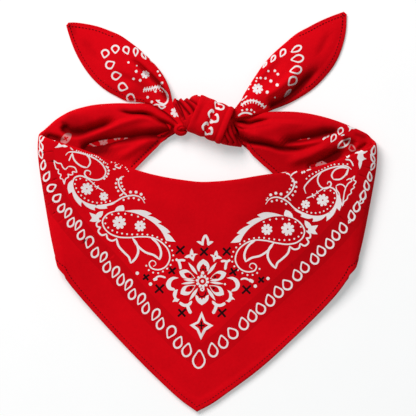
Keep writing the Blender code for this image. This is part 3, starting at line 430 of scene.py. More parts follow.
FRONT_LINES = table(
    Line,
    (1, -1014, 403, -993, 424, -954, 427, -890, 415, -826, 391, -778, 363, -740, 323, -726, 283, -742, 247,
     -780, 228, -826, 231, -865, 249, -878, 273, -870, 292, -849, 294, -834, 279, -841, 263),
    (1.1, -966, 422, -954, 375, -922, 339, -890, 321, -858, 315),
    (1.1, -858, 315, -838, 347, -844, 383, -868, 411), (0.9, -966, 415, -978, 391, -990, 363),
    (0.8, -994, 323, -1017, 303, -1034, 319, -1046, 343, -1070, 347, -1097, 367),
    (0.8, -1097, 367, -1089, 331, -1078, 305, -1063, 302),
    (0.8, -1063, 302, -1065, 275, -1046, 265, -1052, 239, -1034, 233),
    (0.8, -1034, 233, -1028, 215, -1023, 195), (0.8, -1023, 195, -1012, 235, -993, 249, -998, 270),
    (0.8, -998, 270, -980, 263, -962, 267, -966, 283, -932, 281),
    (0.8, -932, 281, -948, 315, -972, 323, -994, 323), (0.8, -660, 323, -642, 315, -625, 310, -618, 326),
    (0.8, -660, 323, -657, 331, -642, 334),
    (1, 1035, 302, 1006, 323, 946, 324, 858, 302, 782, 260, 723, 209, 698, 171, 710, 129),
    (1, 822, 281, 798, 251, 794, 219, 814, 180, 846, 164, 875, 174, 891, 198, 882, 214, 866, 209, 864, 195),
    (1.1, 1014, 311, 954, 315, 910, 292, 894, 255, 907, 230),
    (1.1, 907, 230, 954, 232, 990, 260, 1014, 311), (0.8, 1000, 259, 1006, 279, 1014, 303),
    (0.8, 926, 185, 952, 196, 978, 188, 992, 171, 990, 147),
    (0.8, 926, 185, 928, 159, 944, 135, 955, 87, 971, 39), (0.8, 971, 39, 978, 91, 984, 131, 992, 167),
    (0.8, 992, 167, 1014, 203, 1038, 223, 1027, 235, 998, 225), (0.8, 1027, 235, 1043, 241, 1058, 257),
    (0.8, 1058, 257, 1053, 223, 1067, 217, 1048, 185),
    (0.8, 1048, 185, 1056, 177, 1032, 151, 1035, 137, 1010, 115),
    (0.8, 1010, 115, 1002, 87, 986, 75, 971, 39), (1, 992, 372, 1022, 369, 1038, 351, 1048, 326),
    (0.9, 598, 249, 610, 265, 646, 286), (0.9, 598, 259, 582, 270, 566, 273),
    (0.7, 526, 279, 547, 277, 570, 280), (0.7, 714, 292, 728, 297, 747, 302),
    (1.3, -372, -478, -346, -465, -322, -467, -297, -476), (2.2, -386, -492, -372, -486, -356, -484),
    (1.3, 242, -489, 263, -481, 286, -484, 302, -494), (2.2, 300, -492, 318, -497, 332, -510),
)
FRONT_SHAPES = outlines(
    ((-1092, 457, -1073, 471), (-1060, 489, -1042, 475, -1020, 476), (-998, 464, -1020, 460), (-1036, 465,
     -1065, 459)), ((-982, 459, -969, 452), (-956, 439, -967, 441)),
    ((1058, 411, 1078, 433), (1098, 436, 1122, 430), (1150, 433, 1130, 417), (1118, 411, 1122, 391),
     (1142, 377, 1122, 369), (1112, 363, 1106, 331), (1094, 302, 1085, 339), (1088, 363, 1075, 383),
     (1083, 411, 1070, 416)), ((990, 401, 1006, 393), (1022, 417, 1018, 388), (1002, 382, 994, 391)),
)
FRONT_DOTS = table(
    Dots,
    (5, 0.62, -826, 403, -794, 392, -762, 371, -742, 351, -722, 323),
    (5, 0.85, -712, 316, -705, 291, -713, 263, -737, 237),
    (16, 0.42, -934, 436, -858, 411, -794, 395, -730, 351, -714, 340),
    (4, 0.42, -686, 353, -662, 348, -642, 345, -610, 329), (3, 0.5, -670, 305, -665, 304, -660, 305),
    (3, 0.45, -585, 315, -574, 302, -564, 289), (2, 0.6, -1102, 510, -1092, 505),
    (4, 0.6, 1006, 340, 978, 339, 946, 340, 914, 337),
    (5, 0.5, 890, 331, 875, 324, 850, 315, 822, 300, 802, 292),
    (4, 0.62, 782, 283, 754, 268, 734, 255, 714, 236), (2, 0.8, 683, 279, 698, 284),
    (2, 0.5, 386, 263, 422, 267),
)
CENTRE_DOTS = (
    (-50.1, -44.3, 1.25), (-40.6, -52.1, 1.3), (43.8, -48.1, 1.2), (34.7, -53.6, 1.25),
)
CROSSES = (
    (-19.2, -27.7, 3.4, 43), (-2.1, -28.9, 3.2, 46), (-25, -42.5, 2.7, 40), (-34.1, -55.5, 3.5, 44),
    (-18, -72.8, 3.2, 45), (14.2, -28.7, 3.2, 48), (19, -43.3, 2.8, 35), (28.4, -56.1, 3.5, 45),
    (10.8, -72.9, 3.4, 44), (-43.8, -47.2, 2.3, 40), (39, -49.1, 2.3, 48),
)
CROSS_LINE, CROSS_REACH = 1.6, 1.24
# The medallion and the star are given from their own centres.
MEDALLION_CENTRE = np.array([-3.3, -50.1])
MEDALLION_SHAPES = outlines(
    ((-30, 74, -40, 108, -24, 138), (6, 160, 38, 138, 51, 108), (43, 74, 6, 66)),
    ((-50, -98, -46, -132, -29, -154), (-4, -172, 24, -154, 43, -130), (45, -97, 24, -108), (18, -124,
     6, -120), (-3, -134, -16, -120), (-26, -124, -32, -108)),
    ((174, 24, 214, 32, 254, 12, 269, -28, 250, -64), (206, -76, 210, -66), (216, -58, 237, -44, 238, -20,
     224, 4)),
    ((-170, 24, -210, 32, -248, 10, -262, -26, -242, -60), (-194, -68, -198, -57), (-202, -50, -224, -41,
     -227, -20, -214, 6)),
    ((-78, 236, -88, 212), (-90, 194, -110, 188), (-130, 172, -110, 167), (-94, 170, -82, 160), (-64, 144,
     -59, 166), (-56, 177, -46, 190), (-32, 194, -50, 199), (-64, 198, -67, 216)),
    ((101, 222, 86, 202), (85, 186, 70, 191), (54, 191, 66, 180), (75, 170, 77, 156), (82, 138, 98, 158),
     (109, 162, 126, 162), (142, 165, 128, 178), (112, 186, 110, 204)),
    ((-176, -58, -198, -64, -211, -84, -210, -108), (-202, -126, -210, -138), (-216, -150, -198, -146),
     (-179, -148, -171, -140), (-163, -130, -181, -124), (-189, -112, -184, -88)),
    ((178, -64, 198, -70, 213, -86), (213, -108, 224, -120), (235, -135, 219, -130), (208, -134, 198, -148),
     (186, -151, 176, -145), (165, -143, 184, -130), (192, -116, 192, -88)),
    ((-43, 286, -22, 289), (-5, 284, -3, 272), (0, 257, -22, 270)),
    ((80, 284, 61, 289), (46, 284, 43, 272), (41, 255, 61, 268)),
)
MEDALLION_BARE = outlines(
    ((-21, 73, -14, 102), (5, 126, 27, 102), (34, 73, 6, 63)),
)
MEDALLION_LINES = table(
    Line,
    (1.7, -192, 160, -174, 149, -148, 152, -122, 149), (1.9, -172, 150, -162, 120, -156, 86),
    (1.7, 199, 154, 178, 142, 154, 146, 132, 142), (1.9, 176, 144, 168, 116, 164, 82),
    (2.1, -164, -154, -130, -173, -100, -169, -76, -142), (2.3, -108, -169, -100, -198, -82, -232),
    (2.1, 164, -158, 128, -174, 96, -168, 71, -142), (2.3, 102, -169, 93, -198, 75, -234),
    (1.7, 0, 258, 5, 302, 21, 334), (1.7, 21, 334, 38, 302, 42, 257),
)
MEDALLION_BUDS = outlines(
    ((-15, -46, -16, -62), (0, -74, 15, -62), (14, -46)),
    ((-9, 49, -9, 66), (3, 74, 13, 64), (11, 49)),
)
MEDALLION_ARC = pairs((-34, -68, -27, -94, -4, -112, 20, -96, 27, -70))
MEDALLION_DOTS = (
    (0, 0, 2.7, BARE, 14), (0, 0, 1.15, WHITE, 12),
    (-7.5, 18.3, 0.6, BARE), (9.4, 18.0, 0.6, BARE), (16.2, -2.1, 0.8, WHITE),
)
MEDALLION_SEEDS = (
    (-1.4, 8.4, 0.6), (0.5, 8.7, 0.75), (2.2, 8.2, 0.6), (2.4, 10.6, 0.5), (0.4, 10.6, 0.4),
)
STAR_CENTRE = (-4.0, -81.9)
STAR = pairs((
    2, 102, 30, 30, 84, 2, 30, -34, -4, -104, -34, -34, -84, 2, -30, 30,
))
LEFT_TAIL_DROPS = table(
    Drop,
    (-73.2, 113.4, 168, 6.8, 6.6), (-69.5, 105.6, -62, 7.6, 6.8), (-65, 97.7, -80, 7.8, 7),
    (-60.3, 89.6, -105, 7.6, 6.8), (-54.4, 81.7, -125, 7.6, 6.6), (-65.9, 116.6, 180, 6.6, 6.6),
    (-58, 115.8, -158, 6.6, 5.6), (-51.3, 114.7, 178, 7, 4.4), (-45.4, 111.8, -152, 6.2, 3.8),
    (-39.7, 108.2, -148, 5.4, 3.4), (-48.2, 77, -120, 5, 4),
)
LEFT_TAIL_LINES = table(
    Line,
    (1.3, -458, 875, -410, 881, -367, 891, -334, 892), (0.8, -456, 857, -450, 876, -444, 893),
    (0.8, -438, 860, -432, 878, -426, 896), (0.8, -420, 863, -414, 881, -408, 899),
    (0.8, -402, 865, -396, 884, -390, 901), (0.8, -384, 868, -378, 887, -372, 904),
    (0.8, -366, 871, -360, 890, -354, 907), (0.8, -348, 874, -342, 893, -336, 910),
    (1.3, -334, 892, -299, 864, -281, 828, -282, 792, -304, 770, -335, 779, -361, 799),
    (0.8, -366, 801, -353, 796, -337, 799), (0.9, -397, 761, -367, 771, -331, 765, -294, 754),
    (0.8, -346, 763, -320, 742, -297, 751),
)
LEFT_TAIL_FLOWERS = (
    (-44.3, 98.4, 3, 7, 0), (-22.3, 71.3, 3.8, 7, 20),
)
LEFT_TAIL_SPOTS = (
    (-56.4, 107, 0.85), (-50.6, 104.6, 0.6), (-50.8, 100.6, 1), (-52.7, 95.4, 0.95), (-47.9, 94.3, 1.05),
    (-35.4, 100.6, 0.85), (-34, 97.7, 0.9), (-32.3, 92.4, 0.95), (-36.9, 86.2, 0.9), (-42.5, 82.2, 1),
    (-39.4, 79, 0.95), (-33.8, 86.6, 0.5), (-32.4, 85.9, 0.45),
)
RIGHT_TAIL_DROPS = table(
    Drop,
    (64.2, 116.6, 120, 9, 5.2), (64.9, 109.7, 100, 9.8, 6.6), (63.7, 101.5, 105, 9.2, 6.6),
    (61.1, 93.6, 135, 8.6, 6.6), (57.7, 85.2, 138, 8, 2.8), (54.4, 113.9, 150, 7, 4.8),
    (47.5, 109.7, 150, 6.4, 3.8), (41.6, 105.3, 150, 5.6, 2.8),
)
RIGHT_TAIL_LINES = table(
    Line,
    (1.2, 243, 760, 274, 783, 310, 796, 346, 793, 382, 775, 416, 747), (0.8, 260, 752, 252, 765, 244, 779),
    (0.8, 278, 762, 272, 776, 267, 791), (0.8, 296, 770, 292, 785, 289, 801),
    (0.8, 313, 775, 313, 791, 312, 807), (0.8, 331, 776, 333, 791, 335, 807),
    (0.8, 349, 772, 353, 787, 358, 802), (0.8, 366, 763, 374, 777, 381, 792),
    (0.8, 385, 752, 394, 765, 403, 778), (0.8, 403, 741, 414, 752, 425, 764),
    (1.2, 223, 686, 248, 703, 281, 709, 321, 699), (0.8, 246, 794, 258, 804, 268, 809),
    (0.8, 271, 810, 278, 820, 288, 830),
)
RIGHT_TAIL_FLOWERS = (
    (36.4, 88, 3.9, 8, 10),
)
RIGHT_TAIL_SPOTS = (
    (44.1, 100.9, 0.85), (48.8, 101, 1), (50.9, 98.5, 1), (42.1, 95.6, 0.95), (45.9, 93.6, 1.15),
    (50.4, 90.7, 1.2), (43.3, 85.6, 1.15), (38.6, 95.9, 0.85), (36, 95.8, 0.7), (35.4, 93.6, 0.7),
    (31.5, 91.1, 0.7), (30, 87.8, 0.7), (25.2, 72.5, 0.75), (28.6, 73.1, 0.85), (31.7, 72.9, 0.85),
    (33.8, 71.5, 0.55), (48.7, 82.1, 0.6),
)
WRAP_RING = pairs((
    58, 751, 56, 768, 73, 777, 95, 765, 118, 752, 115, 734, 92, 728, 71, 737,
))
WRAP_STROKES = table(
    Line,
    (1.5, 16, 670, 12, 699, 26, 720, 49, 714), (1.6, 62, 695, 78, 673, 73, 647, 48, 640, 26, 660),
    (1.5, -26, 582, -30, 610, -14, 630, 10, 624), (1.6, 19, 600, 36, 582, 30, 557, 4, 554, -14, 574),
)
LEFT_BAND_OVAL = Drop(-101.4, 52.4, -42, 9.8, 5.8)
BAND_DROPS = (
    (90.7, 52.6, 148, 6.8, 4.2), (95.8, 57.7, 160, 6, 4.6),
)
BAND_LINES = table(
    Line,
    (1.2, 830, 513, 846, 526, 858, 531), (0.9, 858, 531, 870, 536, 878, 544),
    (1.1, 938, 459, 952, 491, 986, 515, 1032, 529), (1.1, 938, 459, 970, 462, 1010, 481, 1032, 526),
    (0.9, 978, 499, 987, 483, 992, 468), (1, 962, 545, 976, 550, 986, 552),
)
BAND_STAR = outlines(
    ((1003, 617, 1022, 611), (1040, 620, 1046, 608), (1072, 593, 1050, 590), (1038, 593, 1027, 582),
     (1018, 574, 1021, 593)),
)
BAND_FAINT = table(
    Line,
    (0.9, 1018, 451, 1034, 479, 1050, 471, 1067, 444), (0.9, 1018, 451, 1040, 436, 1067, 444),
)
# The strips along the front's edges where the ground is a little darker.
TONE_STRIPS = table(
    Line,
    (16.4, -1175, 420, -1160, 280, -1095, 110, -990, -55, -870, -200, -705, -370, -500, -605, -300, -815,
     -140, -975, -40, -1045),
    (16.4, -40, -1045, 80, -960, 280, -775, 500, -580, 700, -395, 880, -215, 1010, -65, 1100, 90, 1155, 250,
     1175, 360),
)

# How large each sheet lay before it was folded or gathered: its width and length, and its area in
# square metres.
Sheet = namedtuple("Sheet", "flat area held")

Tail = namedtuple("Tail", "side sections creases shades drops lines flowers spots")
TAILS = (
    Tail(
        "left", LEFT_TAIL, LEFT_TAIL_CREASES, LEFT_TAIL_SHADES,
        LEFT_TAIL_DROPS, LEFT_TAIL_LINES, LEFT_TAIL_FLOWERS, LEFT_TAIL_SPOTS,
    ),
    Tail(
        "right", RIGHT_TAIL, RIGHT_TAIL_CREASES, RIGHT_TAIL_SHADES,
        RIGHT_TAIL_DROPS, RIGHT_TAIL_LINES, RIGHT_TAIL_FLOWERS, RIGHT_TAIL_SPOTS,
    ),
)


def hermite(stations, values, breaks=()):
    """A smooth curve through the values, as a function of the station. It may turn sharply at
    the stations whose numbers are in `breaks`."""
    stations = np.asarray(stations, float)
    values = np.asarray(values, float)
    steps = np.diff(stations)
    slopes = np.diff(values, axis=0) / steps[:, None]
    before = np.vstack([slopes[:1], slopes])
    after = np.vstack([slopes, slopes[-1:]])
    weights = np.ones((len(stations), 1)) * 0.5
    weights[1:-1, 0] = steps[:-1] / (steps[:-1] + steps[1:])
    tangents = before * (1 - weights) + after * weights
    arriving, leaving = tangents.copy(), tangents.copy()
    for index in breaks:
        arriving[index], leaving[index] = before[index], after[index]

    def at(wanted):
        wanted = np.atleast_1d(np.asarray(wanted, float))
        spot = np.clip(np.searchsorted(stations, wanted, "right") - 1, 0, len(steps) - 1)
        length = steps[spot][:, None]
        share = (wanted - stations[spot])[:, None] / length
        squared, cubed = share**2, share**3
        return (
            (2 * cubed - 3 * squared + 1) * values[spot]
            + (cubed - 2 * squared + share) * length * leaving[spot]
            + (3 * squared - 2 * cubed) * values[spot + 1]
            + (cubed - squared) * length * arriving[spot + 1]
        )

    return at


def as_points(points):
    return np.atleast_2d(np.asarray(points, float))


def angles(count):
    """Evenly spaced angles, once round."""
    return np.linspace(0, 2 * math.pi, count + 1)[:-1]


def circle(sides):
    """Points evenly round a circle with a radius of 1."""
    return np.stack([np.cos(angles(sides)), np.sin(angles(sides))], axis=1)


def turned(points, degrees):
    cosine, sine = math.cos(math.radians(degrees)), math.sin(math.radians(degrees))
    return points @ np.array([[cosine, sine], [-sine, cosine]])


def smoothstep(low, high, value):
    share = np.clip((value - low) / (high - low), 0.0, 1.0)
    return share * share * (3 - 2 * share)


def unit(vectors):
    return vectors / np.maximum(norm(vectors, axis=-1, keepdims=True), 1e-9)


def walked(points):
    """The distance from the first point to each, from one to the next."""
    return np.concatenate([[0.0], np.cumsum(norm(np.diff(points, axis=0), axis=1))])


def crease_height(creases, x, y):
    """The height that the creases add at plan points x, y."""
    total = np.zeros(np.shape(x))
    for crease in creases:
        path = smooth_path(crease.points, CREASE_STEP)
        heading = unit(np.gradient(path, axis=0))
        away = np.hypot(np.subtract.outer(x, path[:, 0]), np.subtract.outer(y, path[:, 1]))
        nearest = np.argmin(away, axis=-1)
        east, north = x - path[nearest, 0], y - path[nearest, 1]
        side = heading[nearest, 0] * north - heading[nearest, 1] * east
        within = (nearest > 0) & (nearest < len(path) - 1)
        least = np.where(within, np.abs(side), away.min(axis=-1))
        width = crease.width * (1 + crease.lean * np.tanh(side / crease.width))
        share = nearest / (len(path) - 1)
        fade = smoothstep(0.0, crease.fade_in, share) * smoothstep(0.0, crease.fade_out, 1 - share)
        total = total + crease.height * fade * np.exp(-((least / width) ** 2))
    return total


def side_fold(under, over, count=5):
    """The sections that carry the cloth round a side fold, between the last section of the band
    underneath and the first of the front panel on top."""
    side = math.copysign(1, under.neck[0])
    made = []
    for step in range(1, count + 1):
        angle = math.pi * step / (count + 1)
        points = []
        for low, high, bulge in ((under.hem, over.hem, 1), (under.neck, over.neck, NECK_BULGE)):
            low, high = np.array(low), np.array(high)
            half = (high[2] - low[2]) / 2
            point = low + (high - low) * (step / (count + 1)) ** 0.75
            point[0] += side * half * bulge * math.sin(angle)
            point[2] = low[2] + half * (1 - math.cos(angle))
            points.append(tuple(point))
        share = step / (count + 1)
        roll = under.roll + (over.roll - under.roll) * min(1, 2 * share)
        bow = side * FOLD_BOW * math.sin(angle)
        made.append(Section(*points, bow, roll, LEAF_STEP, 0.9))
    return made


class Loop:
    """The folded cloth, from the knot round to the knot again: an outer layer from hem to neck
    edge, a rounded fold at the neck edge, and an inner layer back to the other hem."""

    def __init__(self):
        left = side_fold(LEFT_BAND[-1], FRONT[0])
        right = side_fold(RIGHT_BAND[0], FRONT[-1])[::-1]
        sections = [*LEFT_BAND, *left, *FRONT, *right, *RIGHT_BAND]
        middles = [(np.array(s.hem) + np.array(s.neck)) / 2 for s in sections]
        self.stations = walked(middles)
        half = len(left) // 2
        first_over = len(LEFT_BAND) + len(left)
        last_over = first_over + len(FRONT) - 1
        self.seams = self.stations[[len(LEFT_BAND) + half, last_over + 1 + half]]
        self.over = self.stations[[first_over, last_over]]
        self.under = self.stations[[len(LEFT_BAND) - 1, last_over + 1 + len(right)]]
        self.corner = self.stations[first_over + CORNER]
        self.hem = hermite(self.stations, [s.hem for s in sections], [first_over + CORNER])
        self.neck = hermite(self.stations, [s.neck for s in sections])
        self.shape = hermite(self.stations, [(s.bow, s.roll, s.dome, s.cover) for s in sections])

    def on_front(self, station):
        """How far the station is into the front panel: 0 at the side folds, 1 well inside."""
        return smoothstep(0.0, 45.0, np.minimum(station - self.over[0], self.over[1] - station))

    def outer(self, station, share):
        """Points of the outer layer: `station` along the loop, `share` from hem to neck."""
        station, share = np.broadcast_arrays(station, share)
        shape, station, share = share.shape, station.ravel(), share.ravel()[:, None]
        hem, neck = self.hem(station), self.neck(station)
        bow, roll = self.shape(station)[:, :2].T
        neck = neck + unit((hem - neck) * [1, 1, 0]) * roll[:, None] / 2
        front = self.on_front(station)[:, None]
        points = hem + (neck - hem) * share
        rise = np.maximum(share, 0.0) ** (1 + 0.45 * front)
        points[:, 2:] = hem[:, 2:] + (neck[:, 2:] - hem[:, 2:]) * rise
        points[:, :1] += bow[:, None] * (1 - (2 * share - 1) ** 4) * (0.45 + 0.6 * share)
        edge = smoothstep(0.0, 0.12, share) * smoothstep(0.0, 0.08, 1 - share) * front
        points[:, 2] += crease_height(FRONT_CREASES, points[:, 0], points[:, 1]) * edge[:, 0]
        points[:, 2] = np.maximum(points[:, 2], TABLE_LAYER)
        return points.reshape(*shape, 3)

    def inwards(self, station, share):
        """The direction from the outer layer to the inner one."""
        along = self.outer(station + 0.05, share) - self.outer(station - 0.05, share)
        up = self.outer(station, share + 0.002) - self.outer(station, share - 0.002)
        return -unit(np.cross(along, up))

    def spread(self, station, share):
        """How much room there is between the outer layer and the inner one."""
        roll, dome, cover = (
            self.shape(station.ravel())[:, i].reshape(share.shape) for i in (1, 2, 3)
        )
        shown = smoothstep(cover - 0.04, cover + 0.6 * (1 - cover), share)
        towards_neck = smoothstep(0.5, 1.0, share)
        full = dome * (1 - towards_neck) + roll * towards_neck
        return LEAF_STEP + (full - LEAF_STEP) * shown

    def gathers(self, creases, points, share):
        """The creases' relief, which dies out at the hem and at the neck edge."""
        edge = smoothstep(0.0, 0.05, share) * smoothstep(0.0, 0.09, 1 - share)
        return crease_height(creases, points[..., 0], points[..., 1]) * edge

    def pressed(self, station, share, creases):
        """The outer layer. It follows the inner one's creases where the two lie close."""
        points = self.outer(station, share)
        if creases:
            station, share = np.broadcast_arrays(station, share)
            close = 1 - smoothstep(0.5, 4.0, self.spread(station, share) - LEAF_STEP)
            points[..., 2] += self.gathers(creases, points, share) * close
            points[..., 2] = np.maximum(points[..., 2], TABLE_LAYER)
        return points

    def inner(self, station, share, creases):
        station, share = np.broadcast_arrays(station, share)
        points = self.outer(station, share)
        lift = self.spread(station, share)
        points = points + self.inwards(station, share) * lift[..., None]
        points[..., 2] += self.gathers(creases, points, share)
        points[..., 2] = np.maximum(points[..., 2], 2 * TABLE_LAYER)
        return points

    def layers(self, stations, outer_shares, inner_shares, bends, creases=()):
        """Rows of points in three patches: the outer layer from the hem, the fold at the neck
        edge, and the inner layer from there back to the hem."""
        columns = np.asarray(stations, float)[None, :]
        outer = self.pressed(columns, outer_shares[:, None] * np.ones_like(columns), creases)
        for seam in self.seams:
            near = np.abs(columns - seam) < 0.5
            front = columns.min() < self.corner < columns.max()
            inwards = np.sign(self.corner - seam) * (1 if front else -1)
            columns = np.where(near, columns + inwards * INNER_SETBACK, columns)
        inner = self.inner(columns, inner_shares[:, None] * np.ones_like(columns), creases)
        centre = (outer[-1] + inner[0]) / 2
        to_outer = outer[-1] - centre
        reach = norm(to_outer, axis=-1, keepdims=True)
        outwards = unit((outer[-1] - outer[-2]) * [1, 1, 0])
        fold = [
            centre + to_outer * math.cos(angle) + outwards * reach * math.sin(angle)
            for angle in np.linspace(0, math.pi, bends + 2)[1:-1]
        ]
        return outer, np.array(fold), inner


def grid_faces(rows, columns):
    index = np.arange(rows * columns).reshape(rows, columns)
    corners = [index[:-1, :-1], index[1:, :-1], index[1:, 1:], index[:-1, 1:]]
    return np.stack(corners, axis=-1).reshape(-1, 4)


def unrolled(points, first_column, last_column, last_row):
    """Where each point of a grid lies in the flat print: its plan place up to the given columns
    and row, and past them as far as the cloth runs."""
    flat = points[..., :2].copy()
    for start, step in ((first_column, -1), (last_column, 1)):
        heading = unit(flat[:, start] - flat[:, start - step])
        column = start + step
        while 0 <= column < points.shape[1]:
            run = norm(points[:, column] - points[:, column - step], axis=-1)
            flat[:, column] = flat[:, column - step] + heading * run[:, None]
            column += step
    heading = unit(flat[last_row] - flat[last_row - 1])
    for row in range(last_row + 1, len(points)):
        run = norm(points[row] - points[row - 1], axis=-1)
        flat[row] = flat[row - 1] + heading * run[:, None]
    return flat


class Surface:
    """A patch of cloth: a grid of points, and where each of them lies in the flat print."""

    def __init__(self, points, flat):
        self.points, self.flat = points, flat
        self.rows, self.columns = flat.shape[:2]
        quads = grid_faces(self.rows, self.columns)
        self.triangles = np.concatenate([quads[:, [0, 1, 2]], quads[:, [0, 2, 3]]])
        level = np.concatenate([flat, np.zeros((self.rows, self.columns, 1))], axis=-1)
        self.flat_tree, self.plan_tree = (
            BVHTree.FromPolygons(grid.reshape(-1, 3).tolist(), self.triangles.tolist())
            for grid in (level, points)
        )
        beyond = ((1, 1), (1, 1), (0, 0))
        self.padded = np.pad(points, beyond, mode="reflect", reflect_type="odd")

    def at(self, row, column):
        """Points between the grid's own, on a smooth surface through them."""
        whole_row = np.clip(np.floor(row).astype(int), 0, self.rows - 2)
        whole_column = np.clip(np.floor(column).astype(int), 0, self.columns - 2)
        down, along = self.weights(row - whole_row), self.weights(column - whole_column)
        total = np.zeros((len(row), 3))
        for i in range(4):
            for j in range(4):
                share = (down[i] * along[j])[:, None]
                total += share * self.padded[whole_row + i, whole_column + j]
        return total

    @staticmethod
    def weights(share):
        """How much each of four points in a row counts, between the middle two of them."""
        squared, cubed = share**2, share**3
        return (
            (2 * squared - share - cubed) / 2,
            (2 - 5 * squared + 3 * cubed) / 2,
            (share + 4 * squared - 3 * cubed) / 2,
            (cubed - squared) / 2,
        )

    def corner_weights(self, places, found, positions):
        """How much each corner of the found triangles counts at the places."""
        corners = self.triangles[found]
        one, two, three = (positions[corners[:, i]] for i in range(3))
        side_a, side_b, away = two - one, three - one, places - one
        cross = lambda p, q: p[:, 0] * q[:, 1] - p[:, 1] * q[:, 0]
        area = cross(side_a, side_b)
        area = np.where(np.abs(area) < 1e-12, 1e-12, area)
        second = cross(away, side_b) / area
        third = cross(side_a, away) / area
        return corners, np.clip(np.stack([1 - second - third, second, third], axis=1), -0.2, 1.2)

    def locate(self, places):
        """The row and column of each flat place."""
        hits = [self.flat_tree.find_nearest((x, y, 0.0)) for x, y in places]
        spots = np.array([hit[0][:2] for hit in hits])
        found = np.array([hit[2] for hit in hits])
        corners, weights = self.corner_weights(spots, found, self.flat.reshape(-1, 2))
        row, column = np.divmod(corners, self.columns)
        return (row * weights).sum(axis=1), (column * weights).sum(axis=1)

    def from_plan(self, places):
        """The flat place of what is seen from above at each plan place."""
        places = as_points(places)
        made = places.copy()
        plan, flat = self.points[..., :2].reshape(-1, 2), self.flat.reshape(-1, 2)
        for index, (x, y) in enumerate(places):
            spot, _, found, _ = self.plan_tree.ray_cast((x, y, 100.0), (0.0, 0.0, -1.0))
            if spot is None:
                nearest = np.argmin(((plan - (x, y)) ** 2).sum(axis=1))
                made[index] = flat[nearest] + (x, y) - plan[nearest]
            else:
                place, found = np.array([spot[:2]]), np.array([found])
                corners, weights = self.corner_weights(place, found, plan)
                made[index] = (flat[corners[0]] * weights[0][:, None]).sum(axis=0)
        return made


def smooth_path(points, step=0.9, closed=False):
    """Evenly spaced points on a smooth curve through the given ones."""
    points = np.asarray(points, float)
    if len(points) == 2:
        count = max(2, math.ceil(norm(points[1] - points[0]) / step) + 1)
        return points[0] + (points[1] - points[0]) * np.linspace(0, 1, count)[:, None]
    if closed:
        points = np.concatenate([points[-2:], points, points[:3]])
    run = walked(points)
    curve = hermite(run, points)
    first, last = (run[2], run[-3]) if closed else (0.0, run[-1])
    count = max(3, math.ceil((last - first) / step) + 1)
    made = curve(np.linspace(first, last, count))
    return made[:-1] if closed else made


